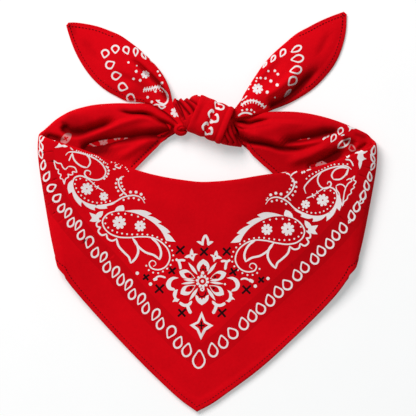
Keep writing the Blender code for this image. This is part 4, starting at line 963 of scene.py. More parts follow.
class Print:
    """The inks of one patch, as flat outlines in the order in which they are laid on. `place`
    takes a design's points to flat places."""

    def __init__(self, place):
        self.outlines, self.place = [], place

    def add(self, outline, ink):
        outline = np.asarray(outline, float)
        ahead = np.roll(outline, -1, axis=0)
        area = (outline[:, 0] * ahead[:, 1] - outline[:, 1] * ahead[:, 0]).sum()
        self.outlines.append((outline if area > 0 else outline[::-1], ink))

    def shapes(self, rows, ink=WHITE):
        """Filled shapes, whose outlines are smooth along each run and sharp between them."""
        for runs in rows:
            made = [smooth_path(self.place(run))[:-1] for run in runs]
            self.add(np.concatenate(made), ink)

    def line(self, width, points, ink=WHITE, taper=(0.45, 0.45), step=0.8, closed=False):
        """A line of ink, narrower towards its ends, in short lengths that share their ends."""
        path = smooth_path(self.place(points), step, closed)
        if closed:
            path = np.concatenate([path, path[:1]])
        heading = np.gradient(path, axis=0)
        if closed:
            heading[0] = heading[-1] = path[1] - path[-2]
        heading = unit(heading)
        side = np.stack([-heading[:, 1], heading[:, 0]], axis=1)
        share = np.linspace(0, 1, len(path))
        full = 1 - (1 - taper[0]) * (1 - smoothstep(0, 0.12, share))
        full = full - (1 - taper[1]) * (1 - smoothstep(0, 0.12, 1 - share))
        reach = side * (full if not closed else np.ones(len(path)))[:, None] * width / 2
        left, right = path + reach, path - reach
        for start in range(0, len(path) - 1, 3):
            end = min(start + 4, len(path))
            self.add(np.concatenate([left[start:end], right[start:end][::-1]]), ink)

    def lines(self, rows, *settings):
        for row in rows:
            self.line(*row, *settings)

    def dot(self, x, y, radius, ink=WHITE, sides=8):
        self.add(self.place((x, y))[0] + radius * circle(sides), ink)

    def dots(self, rows):
        """Dots at even steps along each row's curve."""
        for row in rows:
            path = smooth_path(row.points, 0.5)
            run = walked(path)
            for x, y in hermite(run, path)(np.linspace(0, run[-1], row.count)):
                self.dot(x, y, row.radius)

    def drop(self, x, y, turn, length, width, line):
        """A teardrop ring. At a turn of 0 its point is towards +Y, and it leans to the left."""
        centre, around = self.place((x, y))[0], angles(20)
        for grow, ink, point in ((0.0, WHITE, 1.0), (line, BARE, 0.94)):
            half_length, half_width = length / 2 - grow, width / 2 - grow
            up = -np.cos(around) * half_length
            narrow = 1 - 0.5 * smoothstep(-0.3, 1.0, up / half_length)
            across = np.sin(around) * half_width * narrow
            up[10] = half_length * point
            self.add(centre + turned(np.stack([across, up], axis=1), turn), ink)

    def flower(self, x, y, radius, petals, turn, core=0.13):
        lobe = np.abs(np.sin(angles(petals * 8) * petals / 2)) ** 0.55
        outline = (radius * (0.60 + 0.40 * lobe))[:, None] * circle(petals * 8)
        self.add(self.place((x, y))[0] + turned(outline, turn), WHITE)
        if core:
            self.dot(x, y, core * radius, BARE)

    def leaf(self, angle, start, end, width, ink=WHITE, widest=0.45):
        """A pointed leaf that runs out from the middle of a design, at an angle from +X."""
        beyond = widest + (1 - widest) * 0.64
        profile = ((0, 0), (widest * 0.5, 0.72), (widest, 1), (beyond, 0.56), (1, 0))
        one = np.array(profile) * [end - start, width / 2]
        outline = np.concatenate([smooth_path(one)[:-1], smooth_path(one[::-1] * [1, -1])[:-1]])
        heading = np.array([math.cos(math.radians(angle)), math.sin(math.radians(angle))])
        self.add(self.place(heading * start)[0] + turned(outline, angle), ink)

    def cross(self, x, y, reach, line, turn, uneven, ink=BLACK):
        centre = self.place((x, y))[0]
        for quarter, grow in ((0.0, 1.0), (90.0, 1.0 - uneven)):
            bar = np.array([(-reach, -0.7), (reach, -1.0), (reach, 0.9), (-reach, 1.1)])
            self.add(centre + turned(bar * [grow, line / 2], turn + quarter), ink)

    @contextmanager
    def moved(self, move):
        """Lets a design be drawn elsewhere for a while."""
        own = self.place
        self.place = lambda points: own(move(as_points(points)))
        yield
        self.place = own


def printed_patch(surface, prints, snap_row=None):
    """Vertices, triangles, inks and flat places of a patch whose triangles follow its print."""
    rows, columns = surface.rows, surface.columns
    index = np.arange(rows * columns).reshape(rows, columns)
    border = np.concatenate([index[0, :-1], index[:-1, -1], index[-1, :0:-1], index[:0:-1, 0]])
    flat = surface.flat.reshape(-1, 2)
    loop = flat[border]
    ahead = np.roll(loop, -1, axis=0)
    if (loop[:, 0] * ahead[:, 1] - loop[:, 1] * ahead[:, 0]).sum() < 0:
        border = border[::-1]
    drawn = np.concatenate([outline for outline, _ in prints.outlines])
    tree = kdtree.KDTree(len(drawn))
    for number, (x, y) in enumerate(drawn):
        tree.insert((x, y, 0.0), number)
    tree.balance()
    keep = np.array([tree.find((x, y, 0.0))[2] >= OWN_ROOM for x, y in flat])
    keep[border] = True
    number = np.cumsum(keep) - 1
    kept = np.nonzero(keep)[0]
    places, faces, inks = [flat[kept]], [number[border].tolist()], [BARE]
    total = len(kept)
    for outline, ink in prints.outlines:
        places.append(outline)
        faces.append(list(range(total, total + len(outline))))
        inks.append(ink)
        total += len(outline)
    places = [Vector(place) for place in np.concatenate(places).tolist()]
    corners, _, found, sources, _, origins = delaunay_2d_cdt(places, [], faces, 1, 1e-4)
    flat_made = np.array([corner[:] for corner in corners])
    first = np.array([min(source) if source else -1 for source in sources])
    own = (first >= 0) & (first < len(kept))
    row, column = np.zeros(len(flat_made)), np.zeros(len(flat_made))
    row[own], column[own] = np.divmod(kept[first[own]], columns)
    row[~own], column[~own] = surface.locate(flat_made[~own])
    if snap_row is not None:
        stray = ~own & (np.abs(row - snap_row) < 1e-3)
        column[stray] = np.round(column[stray])
        row[stray] = snap_row
    triangles, colours = [], []
    for face, covers in zip(found, origins):
        if 0 not in covers:
            continue
        triangles.append(face[:])
        laid = [inks[number] for number in sorted(covers)]
        colours.append([ink for ink in laid if ink != TONE][-1] + TONE * (TONE in laid))
    points = surface.at(row, column)
    points[own] = surface.points.reshape(-1, 3)[kept[first[own]]]
    return points, np.array(triangles), np.array(colours), flat_made, row


class ClothMesh:
    """Gathers the patches of one piece of cloth, then makes it a closed shell."""

    def __init__(self, shades=()):
        self.patches, self.faces, self.count, self.shades = [], [], 0, shades

    def add(self, points, faces, inks, places, hems, depths=None):
        # Unless given, each point's painted shade follows how far the shade creases sink at its plan place.
        if depths is None:
            depths = -crease_height(self.shades, points[:, 0], points[:, 1])
        self.patches.append((points, inks, places, hems, depths))
        self.faces.extend((np.asarray(faces) + self.count).tolist())
        self.count += len(points)

    def add_rings(self, rings, depths=None):
        """A plain grid of rings, one after another along the piece."""
        points = np.array(rings)
        faces = grid_faces(*points.shape[:2])
        places = ring_places(points).reshape(-1, 2)
        points = points.reshape(-1, 3)
        self.add(points, faces, np.zeros(len(faces), int), places, np.zeros(len(points)), depths)

    def add_print(self, surface, draw, hem_row=-1.0, snap_row=None):
        """A patch whose triangles follow what is drawn on it. Its rows up to `hem_row` are hem."""
        prints = Print(surface.from_plan)
        draw(prints)
        *patch, row = printed_patch(surface, prints, snap_row)
        self.add(*patch, (row <= hem_row + 1e-3).astype(float))

    def colours(self, inks, depths):
        """Each corner's ink: white in red, black in green and the darker ground in blue. Alpha
        falls where a crease lies low, and carries the painted shade of the creases."""
        ink = np.repeat(inks, [len(face) for face in self.faces])
        colours = np.zeros((len(ink), 4), np.float32)
        colours[:, 0] = np.choose(ink % TONE, [0.0, 1.0, 0.0, FAINT_INK])
        colours[:, 1] = ink % TONE == BLACK
        colours[:, 2] = ink >= TONE
        colours[:, 3] = 1 - np.clip(depths / SHADE_DEPTH, 0, 1)
        return colours

    def finish(self, name, thickness, hem_thickness=None):
        points, inks, places, hems, depths = map(np.concatenate, zip(*self.patches))
        mesh = bpy.data.meshes.new(name)
        mesh.from_pydata((points * MM).tolist(), [], self.faces)
        corners = np.zeros(len(mesh.loops), np.int32)
        mesh.loops.foreach_get("vertex_index", corners)
        layer = mesh.color_attributes.new(INK_AND_SHADE_LAYER, "FLOAT_COLOR", "CORNER")
        layer.data.foreach_set("color", self.colours(inks, depths[corners]).ravel())
        uv = mesh.uv_layers.new(name=CUT_LAYER)
        uv.data.foreach_set("uv", (places[corners] / CUT_SPAN + 0.5).astype(np.float32).ravel())
        obj = added(name, mesh)
        if hem_thickness:
            group = obj.vertex_groups.new(name="hem")
            group.add(np.nonzero(hems)[0].tolist(), 1.0, "REPLACE")
        body = bmesh.new()
        body.from_mesh(mesh)
        bmesh.ops.remove_doubles(body, verts=body.verts, dist=2e-6)
        bmesh.ops.dissolve_degenerate(body, edges=body.edges, dist=1e-7)
        bmesh.ops.recalc_face_normals(body, faces=body.faces)
        highest = max(body.faces, key=lambda face: face.calc_center_median().z)
        if highest.normal.z < 0:
            bmesh.ops.reverse_faces(body, faces=body.faces)
        body.to_mesh(mesh)
        body.free()
        mesh.shade_smooth()
        mesh.materials.append(cotton("printed_cotton_face", 1.0))
        mesh.materials.append(cotton("printed_cotton_back", BACK_INK))
        wall = obj.modifiers.new("cloth", "SOLIDIFY")
        wall.thickness = hem_thickness or thickness
        wall.offset = 0.0
        wall.use_quality_normals = True
        wall.material_offset = 1
        if hem_thickness:
            wall.vertex_group = group.name
            wall.thickness_vertex_group = thickness / hem_thickness
        return obj


def added(name, data):
    obj = bpy.data.objects.new(name, data)
    bpy.context.scene.collection.objects.link(obj)
    return obj


def quadratic(points):
    x, y = points.T / 100.0
    return np.stack([np.ones_like(x), x, y, x * x, x * y, y * y], axis=1)


def mirror_fit():
    """A smooth map from places on the left half to their twins on the right half."""
    terms, *_ = np.linalg.lstsq(quadratic(MIRRORED[:, :2]), MIRRORED[:, 2:], rcond=None)
    return lambda points: quadratic(points) @ terms


def draw_paisleys(prints, dots=PAISLEY_DOTS):
    prints.lines(PAISLEY_LINES)
    prints.shapes(PAISLEY_SHAPES)
    for row in PAISLEY_FLOWERS:
        prints.flower(*row)
    prints.dots(dots)


def draw_medallion(prints):
    prints.shapes(MEDALLION_SHAPES)
    prints.shapes(MEDALLION_BARE, BARE)
    prints.lines(MEDALLION_LINES, WHITE, (0.8, 0.3))
    for angle, width in ((157, 6.4), (19, 6.4), (210, 6.8), (328, 6.8)):
        prints.leaf(angle, 5.6, 18.2, width, widest=0.66)
        prints.leaf(angle, 6.4, 14.4, 4.0, BARE, 0.6)
        x, y = 9.6 * math.cos(math.radians(angle)), 9.6 * math.sin(math.radians(angle))
        prints.dot(x, y, 0.85, BLACK)
        prints.dot(x * 0.8 + 0.5, y * 0.8 - 0.3, 0.4, BLACK, 6)
    for angle, end in ((187, 15.4), (175, 13.6), (-7, 15.4), (5, 13.6)):
        prints.leaf(angle, 5.4, end, 1.7)
    for angle in (127, 53, 236, 304):
        prints.leaf(angle, 5.8, 16.9, 2.3)
    prints.flower(0, 0, 4.9, 10, 9, core=0)
    for row in MEDALLION_DOTS:
        prints.dot(*row)
    prints.shapes(MEDALLION_BUDS[:1])
    prints.dot(-0.1, -5.8, 0.55, BARE)
    prints.shapes(MEDALLION_BUDS[1:])
    prints.line(0.8, MEDALLION_ARC, BLACK)
    for row in MEDALLION_SEEDS:
        prints.dot(*row, BLACK, 6)


def draw_border(prints):
    for drop in FRONT_DROPS:
        prints.drop(*drop, 1.35 if drop.length > 5 else 1.0)


def draw_both_paisleys(prints, *dots):
    draw_paisleys(prints, *dots)
    with prints.moved(mirror_fit()):
        draw_paisleys(prints, *dots)


def draw_middle(prints):
    """The medallion and the star."""
    with prints.moved(lambda points: points + MEDALLION_CENTRE):
        draw_medallion(prints)
    centre = prints.place(STAR_CENTRE)[0]
    prints.add(centre + STAR, WHITE)
    prints.add(centre + STAR * 0.60, BARE)
    prints.cross(*STAR_CENTRE, 2.9, 1.2, 90, 0.2)


def draw_front(prints):
    prints.lines(TONE_STRIPS, TONE, (1.0, 1.0), 2.4)
    draw_border(prints)
    draw_both_paisleys(prints)
    prints.lines(FRONT_LINES)
    prints.shapes(FRONT_SHAPES)
    prints.dots(FRONT_DOTS)
    for row in CENTRE_DOTS:
        prints.dot(*row, sides=12)
    draw_middle(prints)
    for x, y, reach, turn in CROSSES:
        prints.cross(x, y, reach * CROSS_REACH, CROSS_LINE, turn, 0.08)


def draw_underside(prints):
    """The corner underneath has the same design, and only its main motifs are drawn."""
    draw_border(prints)
    draw_both_paisleys(prints, ())
    draw_middle(prints)


def front_cloth(loop, thickness, hem_thickness):
    first, last = SIDE_COLUMNS, SIDE_COLUMNS + 2 * FRONT_COLUMNS
    marks = (loop.seams[0], loop.over[0], loop.corner, loop.over[1], loop.seams[1])
    counts = (SIDE_COLUMNS, FRONT_COLUMNS, FRONT_COLUMNS, SIDE_COLUMNS)
    runs = [np.linspace(*ends, count + 1)[:-1] for *ends, count in zip(marks, marks[1:], counts)]
    stations = np.concatenate([*runs, marks[-1:]])
    outer = np.concatenate([[0.0, 0.01, 0.02, 0.03, 0.04, 0.048, 0.054], np.linspace(0.068, 1.0, 64)])
    inner = np.concatenate([np.linspace(1.0, 0.06, 46), [0.054, 0.046, 0.03, 0.015, 0.0]])
    top, fold, under = loop.layers(stations, outer, inner, bends=8)
    top, under = np.concatenate([top, fold, under[:1]]), under[::-1]
    cloth = ClothMesh()
    surface = Surface(top, unrolled(top, first, last, len(outer) - 1))
    cloth.add_print(surface, draw_front, 5.0, len(top) - 1)
    surface = Surface(under, unrolled(under, first, last, len(inner) - 1))
    cloth.add_print(surface, draw_underside, 3.0, len(inner) - 1)
    return cloth.finish("front_cloth", thickness, hem_thickness)


def draw_band_below(prints, side):
    """The print under a band, which the photograph doesn't show: its border and two paisleys."""
    first, last = BELOW_BORDER
    for share in np.linspace(0, 1, BELOW_DROPS):
        x, y = first + (last - first) * share
        prints.drop(x * side, y, -45 * side, 8.0, 5.6, 1.3)

    def to_band(points):
        near = (points - PAISLEY_MIDDLE) * BELOW_SCALE
        return (turned(near, BELOW_TURN) + BELOW_SPOT) * (side, 1)

    with prints.moved(to_band):
        draw_paisleys(prints, ())


def band_cloth(loop, side, thickness, hem_thickness):
    """A band, from the knot to the seam of its side fold. `side` is "left" or "right"."""
    creases, shades, draw = BANDS[side]
    number = list(BANDS).index(side)
    knot_end, under, seam = loop.stations[-number], loop.under[number], loop.seams[number]
    from_knot = knot_end + (under - knot_end) * np.linspace(0, 1, 130) ** 1.2
    stations = np.concatenate([from_knot, np.linspace(under, seam, SIDE_COLUMNS + 1)[1:]])
    first, last = 0, len(from_knot) - 1
    if number:
        stations, first, last = stations[::-1], SIDE_COLUMNS, len(stations) - 1
    outer = np.linspace(0.05, 1.0, 34)
    inner = np.concatenate([np.linspace(1.0, 0.075, 92), [0.062, 0.056, 0.042, 0.028, 0.014, 0.0]])
    below, fold, shown = loop.layers(stations, outer, inner, 10, creases)
    shares = np.broadcast_to(outer[:, None], below.shape[:2])
    room = loop.spread(np.broadcast_to(stations, below.shape[:2]), shares)
    lift = np.clip(loop.gathers(BELOW_CREASES, below, shares), 0, room * BELOW_ROOM)
    below[..., 2] += lift * smoothstep(0.05, 0.15, shares)
    below, shown = np.concatenate([below, fold[:1]]), np.concatenate([fold, shown])[::-1]
    cloth = ClothMesh()
    surface = Surface(below, unrolled(below, first, last, len(outer) - 1))
    draw_below = lambda prints: draw_band_below(prints, 2 * number - 1)
    cloth.add_print(surface, draw_below, snap_row=len(below) - 1)
    # The shown layer gets painted shade along its creases and shade rows; the layer below gets none.
    cloth.shades = (*creases, *shades)
    surface = Surface(shown, unrolled(shown, first, last, len(inner) - 1))
    cloth.add_print(surface, draw, 4.0, len(shown) - 1)
    return cloth.finish(f"{side}_band_cloth", thickness, hem_thickness)


def draw_left_band(prints):
    x, y, turn, length, width = LEFT_BAND_OVAL
    oval = circle(24) * [width, length]
    prints.add(prints.place((x, y))[0] + turned(oval / 2, turn), FAINT)
    prints.cross(x, y, 1.9, 1.1, 32, 0.1, BARE)


def draw_right_band(prints):
    for row in BAND_DROPS:
        prints.drop(*row, 1.0)
    prints.lines(BAND_LINES)
    prints.shapes(BAND_STAR)
    prints.lines(BAND_FAINT, FAINT)


BANDS = {
    "left": (LEFT_BAND_CREASES, LEFT_BAND_SHADES, draw_left_band),
    "right": (RIGHT_BAND_CREASES, RIGHT_BAND_SHADES, draw_right_band),
}


def tail_surface(sections, creases, count=110):
    """A tail, in rows from its stitched edge to its rolled one."""
    stations = walked([(np.array(s.stitched) + np.array(s.rolled)) / 2 for s in sections])
    columns = np.linspace(0, stations[-1], count)
    one = hermite(stations, [s.stitched for s in sections])(columns)
    other = hermite(stations, [s.rolled for s in sections])(columns)
    dome, turn = hermite(stations, [(s.dome, s.turn) for s in sections])(columns).T
    turn = np.clip(turn, 0.0, 170.0)
    across = unit((other - one) * [1, 1, 0])
    width = norm((other - one)[:, :2], axis=1)
    wide = smoothstep(3.0, 9.0, width)
    radius = np.minimum(TAIL_ROLL, width * 0.25)
    shares = np.concatenate([[0.0, 0.03, 0.06, 0.09, 0.12, 0.15, 0.18], np.linspace(0.205, 1.0, 46)])
    rows = []
    for share in shares:
        row = one + (other - across * radius[:, None] - one) * share
        row[:, 2] += dome * math.sin(math.pi * share) ** 0.8
        edge = smoothstep(0.0, 0.12, share) * smoothstep(0.0, 0.12, 1 - share)
        row[:, 2] += crease_height(creases, row[:, 0], row[:, 1]) * edge * wide
        row[:, 2] = np.maximum(row[:, 2], STITCHED_LAYER if share < 0.16 else TABLE_LAYER)
        rows.append(row)
    curled = smoothstep(0.0, 90.0, turn)
    edge_row = rows[-1]
    for step in np.linspace(0, 1, 9)[1:]:
        angle = np.radians(turn) * step
        reach = radius * ((1 - curled) * step + curled * np.sin(angle))
        row = edge_row + across * reach[:, None]
        row[:, 2] -= radius * (1 - np.cos(angle)) * curled
        row[:, 2] = np.maximum(row[:, 2], TABLE_LAYER)
        rows.append(row)
    points = np.array(rows)
    return Surface(points, unrolled(points, 0, count - 1, len(shares) - 1))


def tail_cloth(tail, surface, thickness, hem_thickness):
    def draw(prints):
        for row in tail.drops:
            prints.drop(*row, 1.25)
        prints.lines(tail.lines, WHITE, (0.7, 0.7))
        for row in tail.flowers:
            prints.flower(*row)
        for row in tail.spots:
            prints.dot(*row)

    # The tail gets painted shade along its creases and shade rows.
    cloth = ClothMesh((*tail.creases, *tail.shades))
    cloth.add_print(surface, draw, hem_row=5.0)
    return cloth.finish(f"{tail.side}_tail_cloth", thickness, hem_thickness)


def knot_point(along, across, height):
    """A point from the knot's own axes."""
    cosine, sine = math.cos(KNOT_ANGLE), math.sin(KNOT_ANGLE)
    x = KNOT_CENTRE[0] + along * cosine - across * sine
    y = KNOT_CENTRE[1] + along * sine + across * cosine
    return np.stack(np.broadcast_arrays(x, y, height), axis=-1)


def rounded_ring(angle, half_width, half_height, squareness=2.4):
    """Across and height of a rounded outline at each angle."""
    cosine, sine = np.cos(angle), np.sin(angle)
    across = half_width * np.sign(cosine) * np.abs(cosine) ** (2 / squareness)
    height = half_height * np.sign(sine) * np.abs(sine) ** (2 / squareness)
    return across, height


def ring_places(points):
    """Flat places for rings of points: how far along the piece, and how far round it."""
    middles = points.mean(axis=1)
    along = walked(middles)[:, None] * np.ones(points.shape[1])
    steps = norm(np.diff(points, axis=1), axis=-1)
    round_it = np.concatenate([np.zeros((len(points), 1)), np.cumsum(steps, axis=1)], axis=1)
    return np.stack([along, round_it], axis=-1)


def draw_wrap(prints):
    prints.line(1.3, WRAP_RING, closed=True)
    prints.lines(WRAP_STROKES, WHITE, (0.7, 0.7))


def wrap_cloth(thickness):
    rings = hermite(range(len(WRAP)), WRAP)
    around = np.linspace(-math.pi / 2, 1.5 * math.pi, 141)
    rows = []
    for place in np.linspace(0, len(WRAP) - 1, 81):
        along, draw_in = rings(place)[0]
        width = WRAP_HALF_WIDTH - 0.35 - draw_in
        height = KNOT_HEIGHT / 2 - 0.35 - draw_in
        across, up = rounded_ring(around, width, height)
        point = knot_point(along, across, KNOT_HEIGHT / 2 + up)
        on_top = smoothstep(0.2, 0.7, np.sin(around))
        point[:, 2] += crease_height(WRAP_CREASES, point[:, 0], point[:, 1]) * on_top
        rows.append(point)
    points = np.array(rows)
    # The wrap gets painted shade along its creases.
    cloth = ClothMesh(WRAP_CREASES)
    cloth.add_print(Surface(points, ring_places(points)), draw_wrap)
    return cloth.finish("knot_wrap_cloth", thickness)


def turn_cloth(name, turn, pleats, thickness):
    """The gathered cloth at one end of the wrap, closed by a cap."""
    side = math.copysign(1, turn[-1].along)
    sections = hermite([row.along * side for row in turn], [row[1:] for row in turn])
    end = abs(turn[-1].along)
    around = np.linspace(0, 2 * math.pi, 261)
    rings, depths = [], []
    for distance in (*np.linspace(6.0, 11.6, 5), *np.linspace(12.0, end, 76)):
        low, high, base, top = sections(distance)[0]
        across, up = rounded_ring(around, (high - low) / 2, (top - base) / 2)
        centre = (high + low) / 2
        across = across + centre
        along = np.full_like(across, distance * side)
        smooth = knot_point(along, across, 0.0)
        sink = np.clip(-crease_height(pleats, smooth[:, 0], smooth[:, 1]), 0, MOST_SINK)
        sink = sink * smoothstep(11.0, 12.4, distance) * smoothstep(0.0, 2.0, (high - low) / 4)
        span = np.maximum(np.hypot(across - centre, up), 0.5)
        across = across - sink * (across - centre) / span
        up = up - sink * up / span
        rings.append(knot_point(along, across, (top + base) / 2 + up))
        # Painted shade in the troughs between the pleats.
        depths.append(sink * PLEAT_SHADE)
    last = rings[-1]
    middle = last.mean(axis=0)
    for share in (0.6, 0.25, 0.0):
        rings.append(middle + (last - middle) * share)
        depths.append(depths[-1])
    cloth = ClothMesh()
    cloth.add_rings(rings, np.concatenate(depths))
    return cloth.finish(name, thickness)


def tuck_cloth(thickness):
    stations = walked([row[:2] for row in TUCK])
    sections = hermite(stations, TUCK)
    around = np.linspace(0, 2 * math.pi, 49)
    rings = []
    for station in np.linspace(0, stations[-1], 44):
        x, y, half_width, base, top = sections(station)[0]
        ahead, behind = sections(station + 0.2)[0], sections(station - 0.2)[0]
        direction = unit(ahead[:2] - behind[:2])
        across, up = rounded_ring(around, half_width, (top - base) / 2, 2.1)
        groove = 0.9 * np.exp(-(((across - 0.3) / 0.6) ** 2)) * smoothstep(0.0, 0.5, np.sin(around))
        height = (top + base) / 2 + up - groove * smoothstep(1.0, 1.8, half_width)
        rings.append(np.stack([x - direction[1] * across, y + direction[0] * across, height], axis=-1))
    first, last = rings[0], rings[-1]
    for share in (0.5, 0.0):
        rings.insert(0, first.mean(axis=0) + (first - first.mean(axis=0)) * share)
        rings.append(last.mean(axis=0) + (last - last.mean(axis=0)) * share)
    cloth = ClothMesh()
    cloth.add_rings(rings)
    return cloth.finish("knot_tuck_cloth", thickness)


class Value:
    """A socket that takes part in Python arithmetic."""

    def __init__(self, tree, socket):
        self.tree, self.socket = tree, socket

    def maths(self, operation, *values):
        node = self.tree.nodes.new("ShaderNodeMath")
        node.operation = operation
        for slot, value in zip(node.inputs, values):
            if isinstance(value, Value):
                self.tree.links.new(value.socket, slot)
            else:
                slot.default_value = value
        return Value(self.tree, node.outputs[0])

    def __add__(self, other):
        return self.maths("ADD", self, other)

    __radd__ = __add__

    def __sub__(self, other):
        return self.maths("SUBTRACT", self, other)

    def __rsub__(self, other):
        return self.maths("SUBTRACT", other, self)

    def __mul__(self, other):
        return self.maths("MULTIPLY", self, other)

    __rmul__ = __mul__

    def wave(self):
        return self.maths("SINE", self)

    def power_of_e(self):
        return self.maths("EXPONENT", self)


class Nodes:
    """A node tree, and what makes and joins its nodes."""

    def __init__(self, tree):
        self.tree = tree

    def join(self, slot, value):
        if isinstance(value, Value):
            value = value.socket
        if isinstance(value, bpy.types.NodeSocket):
            self.tree.links.new(value, slot)
        else:
            slot.default_value = value

    def node(self, kind, settings=None, **sockets):
        made = self.tree.nodes.new(kind)
        for key, value in (settings or {}).items():
            setattr(made, key, value)
        for key, value in sockets.items():
            self.join(made.inputs[key.replace("_", " ")], value)
        return made

    def value(self, kind, **sockets):
        return Value(self.tree, self.node(kind, **sockets).outputs[0])


class Look(Nodes):
    """A material's node tree."""

    def __init__(self, name):
        self.material = bpy.data.materials.new(name)
        self.material.use_nodes = True
        super().__init__(self.material.node_tree)

    def mix(self, share, one, other):
        node = self.node("ShaderNodeMix", {"data_type": "RGBA"})
        for number, value in ((0, share), (6, one), (7, other)):
            self.join(node.inputs[number], value)
        return node.outputs[2]

    def set(self, **inputs):
        shader = self.tree.nodes["Principled BSDF"]
        for key, value in inputs.items():
            self.join(shader.inputs[key.replace("_", " ")], value)


def rgba(colour, share=1.0):
    return (*(part * share for part in colour), 1.0)


def cotton(name, ink_strength):
    """Printed cotton. The weave and the mottling follow the cloth's own flat places. Painted shade darkens
    it in the creases and in a soft patch at the right of the front.
    """
    if name in bpy.data.materials:
        return bpy.data.materials[name]
    cloth = bpy.context.scene.bandana_cloth
    look = Look(name)
    ink = look.node("ShaderNodeAttribute", {"attribute_name": INK_AND_SHADE_LAYER})
    parts = look.node("ShaderNodeSeparateColor", Color=ink.outputs["Color"])
    white, black, tone = (Value(look.tree, output) for output in parts.outputs)
    flat = look.node("ShaderNodeUVMap", {"uv_map": CUT_LAYER}).outputs["UV"]
    apart = look.node("ShaderNodeSeparateXYZ", Vector=flat)
    along, over = (Value(look.tree, apart.outputs[axis]) for axis in "XY")
    # Painted shade in the creases, read from the alpha of the ink attribute.
    shade = 1.0 - Value(look.tree, ink.outputs["Alpha"])
    turns = 2 * math.pi * CUT_SPAN * MM / cloth.weave_pitch
    weave = (along * turns).wave() * (over * turns).wave()
    slub, fade, crumple = (
        look.value("ShaderNodeTexNoise", Vector=flat, Scale=CUT_SPAN / size, Detail=detail)
        for size, detail in ((2.2, 2.0), (34.0, 3.0), (15.0, 1.5))
    )
    share = fade * 1.5 + slub * 0.7 + weave * 0.06 - 0.62
    share = look.value("ShaderNodeClamp", Value=share)
    red = look.mix(share, rgba(cloth.red, 1.08), rgba(cloth.red, 0.86))
    red = look.mix(tone * TONE_STRENGTH, red, rgba(cloth.red, 0.62))
    # A soft round patch of painted shade at the right of the front, placed by the flat places.
    east = (along - 0.5) * CUT_SPAN - SHADE_PATCH_PLACE[0]
    north = (over - 0.5) * CUT_SPAN - SHADE_PATCH_PLACE[1]
    deep = ((east * east + north * north) * (-1 / SHADE_PATCH_REACH**2)).power_of_e() * SHADE_PATCH_SHARE
    red = look.mix(deep, red, (0.0, 0.0, 0.0, 1.0))
    colour = look.mix(white * (slub * 0.14 + 0.93) * ink_strength, red, rgba(cloth.white_ink))
    colour = look.mix(black * ink_strength, colour, rgba(cloth.black_ink))
    # The creases' painted shade darkens ground and ink alike.
    colour = look.mix(shade * SHADE_SHARE, colour, rgba(cloth.red, 0.04))
    soft = look.node("ShaderNodeBump", Height=crumple, Distance=0.9 * MM, Strength=0.5)
    fine = look.node("ShaderNodeBump", Height=weave + slub * 1.4, Distance=0.05 * MM, Strength=0.5)
    look.join(fine.inputs["Normal"], soft.outputs["Normal"])
    look.set(Base_Color=colour, Roughness=slub * 0.1 + 0.84, Normal=fine.outputs["Normal"])
    look.set(Specular_IOR_Level=0.04)
    look.set(Sheen_Weight=0.1, Sheen_Roughness=0.5, Sheen_Tint=rgba(cloth.red))
    return look.material


def thread_look():
    """Twisted sewing thread. The twist runs across the stitches on Object coordinates."""
    cloth = bpy.context.scene.bandana_cloth
    look = Look("hem_thread")
    place = look.node("ShaderNodeTexCoord").outputs["Object"]
    twist = look.value("ShaderNodeTexNoise", Vector=place, Scale=2600.0, Detail=2.0)
    colour = look.mix(twist, rgba(cloth.thread, 1.5), rgba(cloth.thread, 0.6))
    bump = look.node("ShaderNodeBump", Height=twist, Distance=0.1 * MM, Strength=0.6)
    look.set(Base_Color=colour, Roughness=0.8, Normal=bump.outputs["Normal"])
    look.set(Specular_IOR_Level=0.1, Sheen_Weight=0.1, Sheen_Tint=rgba(cloth.red))
    return look.material


def floor_look():
    """A white ground that glows a little, as a lit studio sweep does, with a faint grain."""
    stage = bpy.context.scene.bandana_stage
    look = Look("studio_floor")
    place = look.node("ShaderNodeTexCoord").outputs["Object"]
    grain = look.value("ShaderNodeTexNoise", Vector=place, Scale=40.0, Detail=2.0)
    colour = look.mix(grain, rgba(stage.floor_colour, 0.99), rgba(stage.floor_colour, 1.01))
    look.set(Base_Color=colour, Roughness=1.0, Specular_IOR_Level=0.0)
    look.set(Emission_Color=rgba(stage.floor_glow), Emission_Strength=1.0)
    return look.material


def lifted(points, ahead, across, height):
    """Points moved off the cloth, square to it: above it, or below where `height` is negative."""
    up = np.cross(ahead, across)
    up = unit(up * np.sign(up[:, 2:] + 1e-9))
    return points + up * height


def hem_path(layer, stations, height):
    """A line of stitches on a layer of the loop, STITCH_INSET in from the hem."""
    start, inner = layer(stations, 0.0), layer(stations, 0.05)
    ahead = unit(np.gradient(start, axis=0))
    across = inner - start
    width = norm(across, axis=1) / 0.05
    square = norm(np.cross(ahead, unit(across)), axis=1)
    share = STITCH_INSET / np.maximum(square, 0.4) / width
    points = np.concatenate([layer(np.array([s]), t) for s, t in zip(stations, share)])
    return lifted(points, ahead, across, height)


def loop_stitches(loop, hem_thickness):
    """The stitch lines of the front panel and the bands, on both faces of the front's hem."""
    height = hem_thickness / MM / 2 - STITCH_SINK
    start, corner, end = loop.over[0] - 4, loop.corner, loop.over[1] + 4
    front = np.concatenate([np.linspace(start, corner, 90), np.linspace(corner, end, 90)[1:]])

    def inner(creases):
        return lambda station, share: loop.inner(station, np.full(len(station), share), creases)

    paths = [hem_path(lambda s, t: loop.outer(s, np.full(len(s), t)), front, height)]
    paths.append(hem_path(inner(()), front, -height))
    for number, (creases, *_) in enumerate(BANDS.values()):
        knot_end = loop.stations[-number]
        run = loop.under[number] - knot_end
        shown = np.linspace(knot_end + run * 0.04, knot_end + run * 0.62, 60)
        paths.append(hem_path(inner(creases), shown, height))
    return paths


